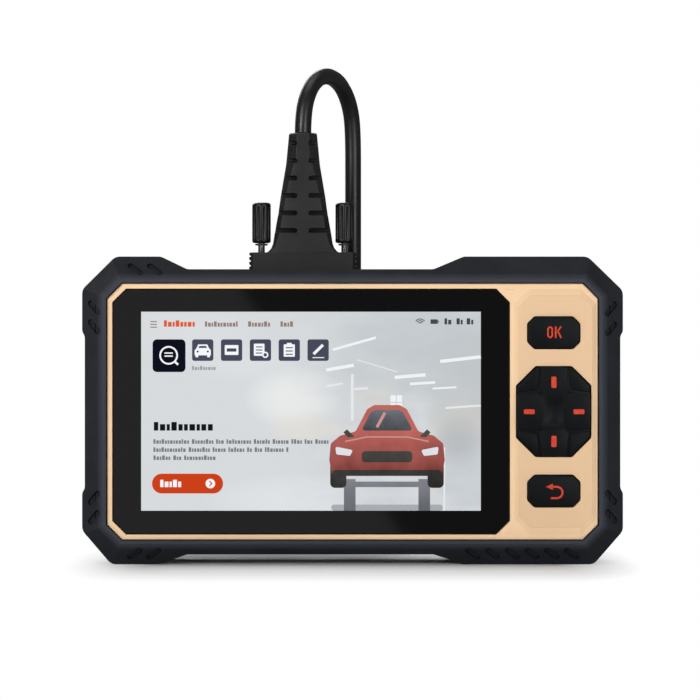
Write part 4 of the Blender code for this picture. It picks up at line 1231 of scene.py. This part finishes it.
def make_studio():
    """A pale floor that glows white away from the object and is only lit diffuse near it, so the glow's
    falloff paints a soft shade round the object; a white backdrop, and soft lights.
    """
    world = bpy.data.worlds.new("studio")
    bpy.context.scene.world = world
    world.use_nodes = True
    background = world.node_tree.nodes["Background"]
    background.inputs["Color"].default_value = (1.0, 1.0, 1.0, 1.0)
    background.inputs["Strength"].default_value = 0.12

    floor_mesh = bpy.data.meshes.new("floor")
    floor_mesh.from_pydata([(-30, -30, 0), (30, -30, 0), (30, 30, 0), (-30, 30, 0)], [], [(0, 1, 2, 3)])
    floor = add_object("floor", floor_mesh)
    f = Finish("studio_floor", (0.88, 0.88, 0.88, 1.0), 0.8)
    x, y, z = f.axes()
    # Painted shade: near the object the floor is plain diffuse, and further off it turns into white glow, so
    # this mask paints the soft grey shade round the object.
    dx = f.math("MULTIPLY", f.math("MAXIMUM", f.math("SUBTRACT", f.math("ABSOLUTE", x), 0.08), 0.0), 2.4)
    dy = f.math("MAXIMUM", f.math("SUBTRACT", f.math("ABSOLUTE", y), 0.02), 0.0)
    reach = f.math("SQRT", f.math("ADD", f.math("MULTIPLY", dx, dx), f.math("MULTIPLY", dy, dy)))
    away = f.range(reach, 0.0, 0.08, 0.0, 1.0)
    glow = f.node("ShaderNodeEmission")
    glow.inputs["Strength"].default_value = 1.0
    blend = f.node("ShaderNodeMixShader")
    f.link(away, blend.inputs[0])
    f.link(f.shader.outputs[0], blend.inputs[1])
    f.link(glow.outputs[0], blend.inputs[2])
    f.link(blend.outputs[0], f.tree.nodes["Material Output"].inputs["Surface"])
    floor_mesh.materials.append(f.material)
    floor.visible_glossy = False

    wall = card("backdrop", [(-6, 12, -2), (6, 12, -2), (6, 12, 8), (-6, 12, 8)], 1.0)
    wall.visible_diffuse = False
    wall.visible_glossy = False
    wall.visible_shadow = False
    x0, z0, x1, z1 = GLARE_EDGE
    slope = (x1 - x0) / (z1 - z0)
    low, high, left, y = -0.5, 0.8, -1.2, -1.6
    edge_low, edge_high = (x0 + slope * (z - z0) for z in (low, high))
    corners = [(left, y, low), (edge_low, y, low), (edge_high, y, high), (left, y, high)]
    glare = card("glare_card", corners, GLARE)
    glare.visible_camera = False
    glare.visible_diffuse = False

    area_light("key_left", (-0.95, -1.7, 0.55), (0, 0, 0.07), (0.8, 0.9), 47.0)
    area_light("fill_right", (1.0, -1.7, 0.4), (0, 0, 0.07), (0.7, 0.9), 11.5)
    area_light("top", (0.0, 0.0, 1.4), (0, 0, 0.08), (1.0, 0.7), 4.0)
    area_light("rear", (-0.5, 1.4, 0.9), (0, 0, 0.06), (1.0, 1.0), 14.0)
    bpy.context.scene.view_settings.view_transform = "Standard"


def card(name, corners, strength):
    """A flat glowing card."""
    mesh = bpy.data.meshes.new(name)
    mesh.from_pydata(corners, [], [(0, 1, 2, 3)])
    obj = add_object(name, mesh)
    material = bpy.data.materials.new(name)
    material.use_nodes = True
    tree = material.node_tree
    tree.nodes.clear()
    glow = tree.nodes.new("ShaderNodeEmission")
    glow.inputs["Strength"].default_value = strength
    out = tree.nodes.new("ShaderNodeOutputMaterial")
    tree.links.new(glow.outputs[0], out.inputs["Surface"])
    mesh.materials.append(material)
    return obj


def make_camera():
    data = bpy.data.cameras.new("camera")
    data.sensor_width = 36.0
    data.lens = 143.6
    camera = add_object("camera", data)
    camera.location = (-0.001, -1.119, 0.0848)
    camera.rotation_euler = (math.pi / 2, 0, 0)
    bpy.context.scene.camera = camera


finish_nodes()
for key_name, key_box in (("ok_key", OK_BOX), ("back_key", BACK_BOX)):
    make_key(key_name, key_box)
make_ok_legend()
make_back_legend()
make_dpad()
make_hood()
for knob_side in ("left", "right"):
    make_thumb_screw(knob_side)
make_case_screws()
make_vehicle_plug()
make_bezel_marks()
make_usb_tongue()
make_picture()
tie = make_tie()
cable = make_cord()
make_studio()
make_camera()
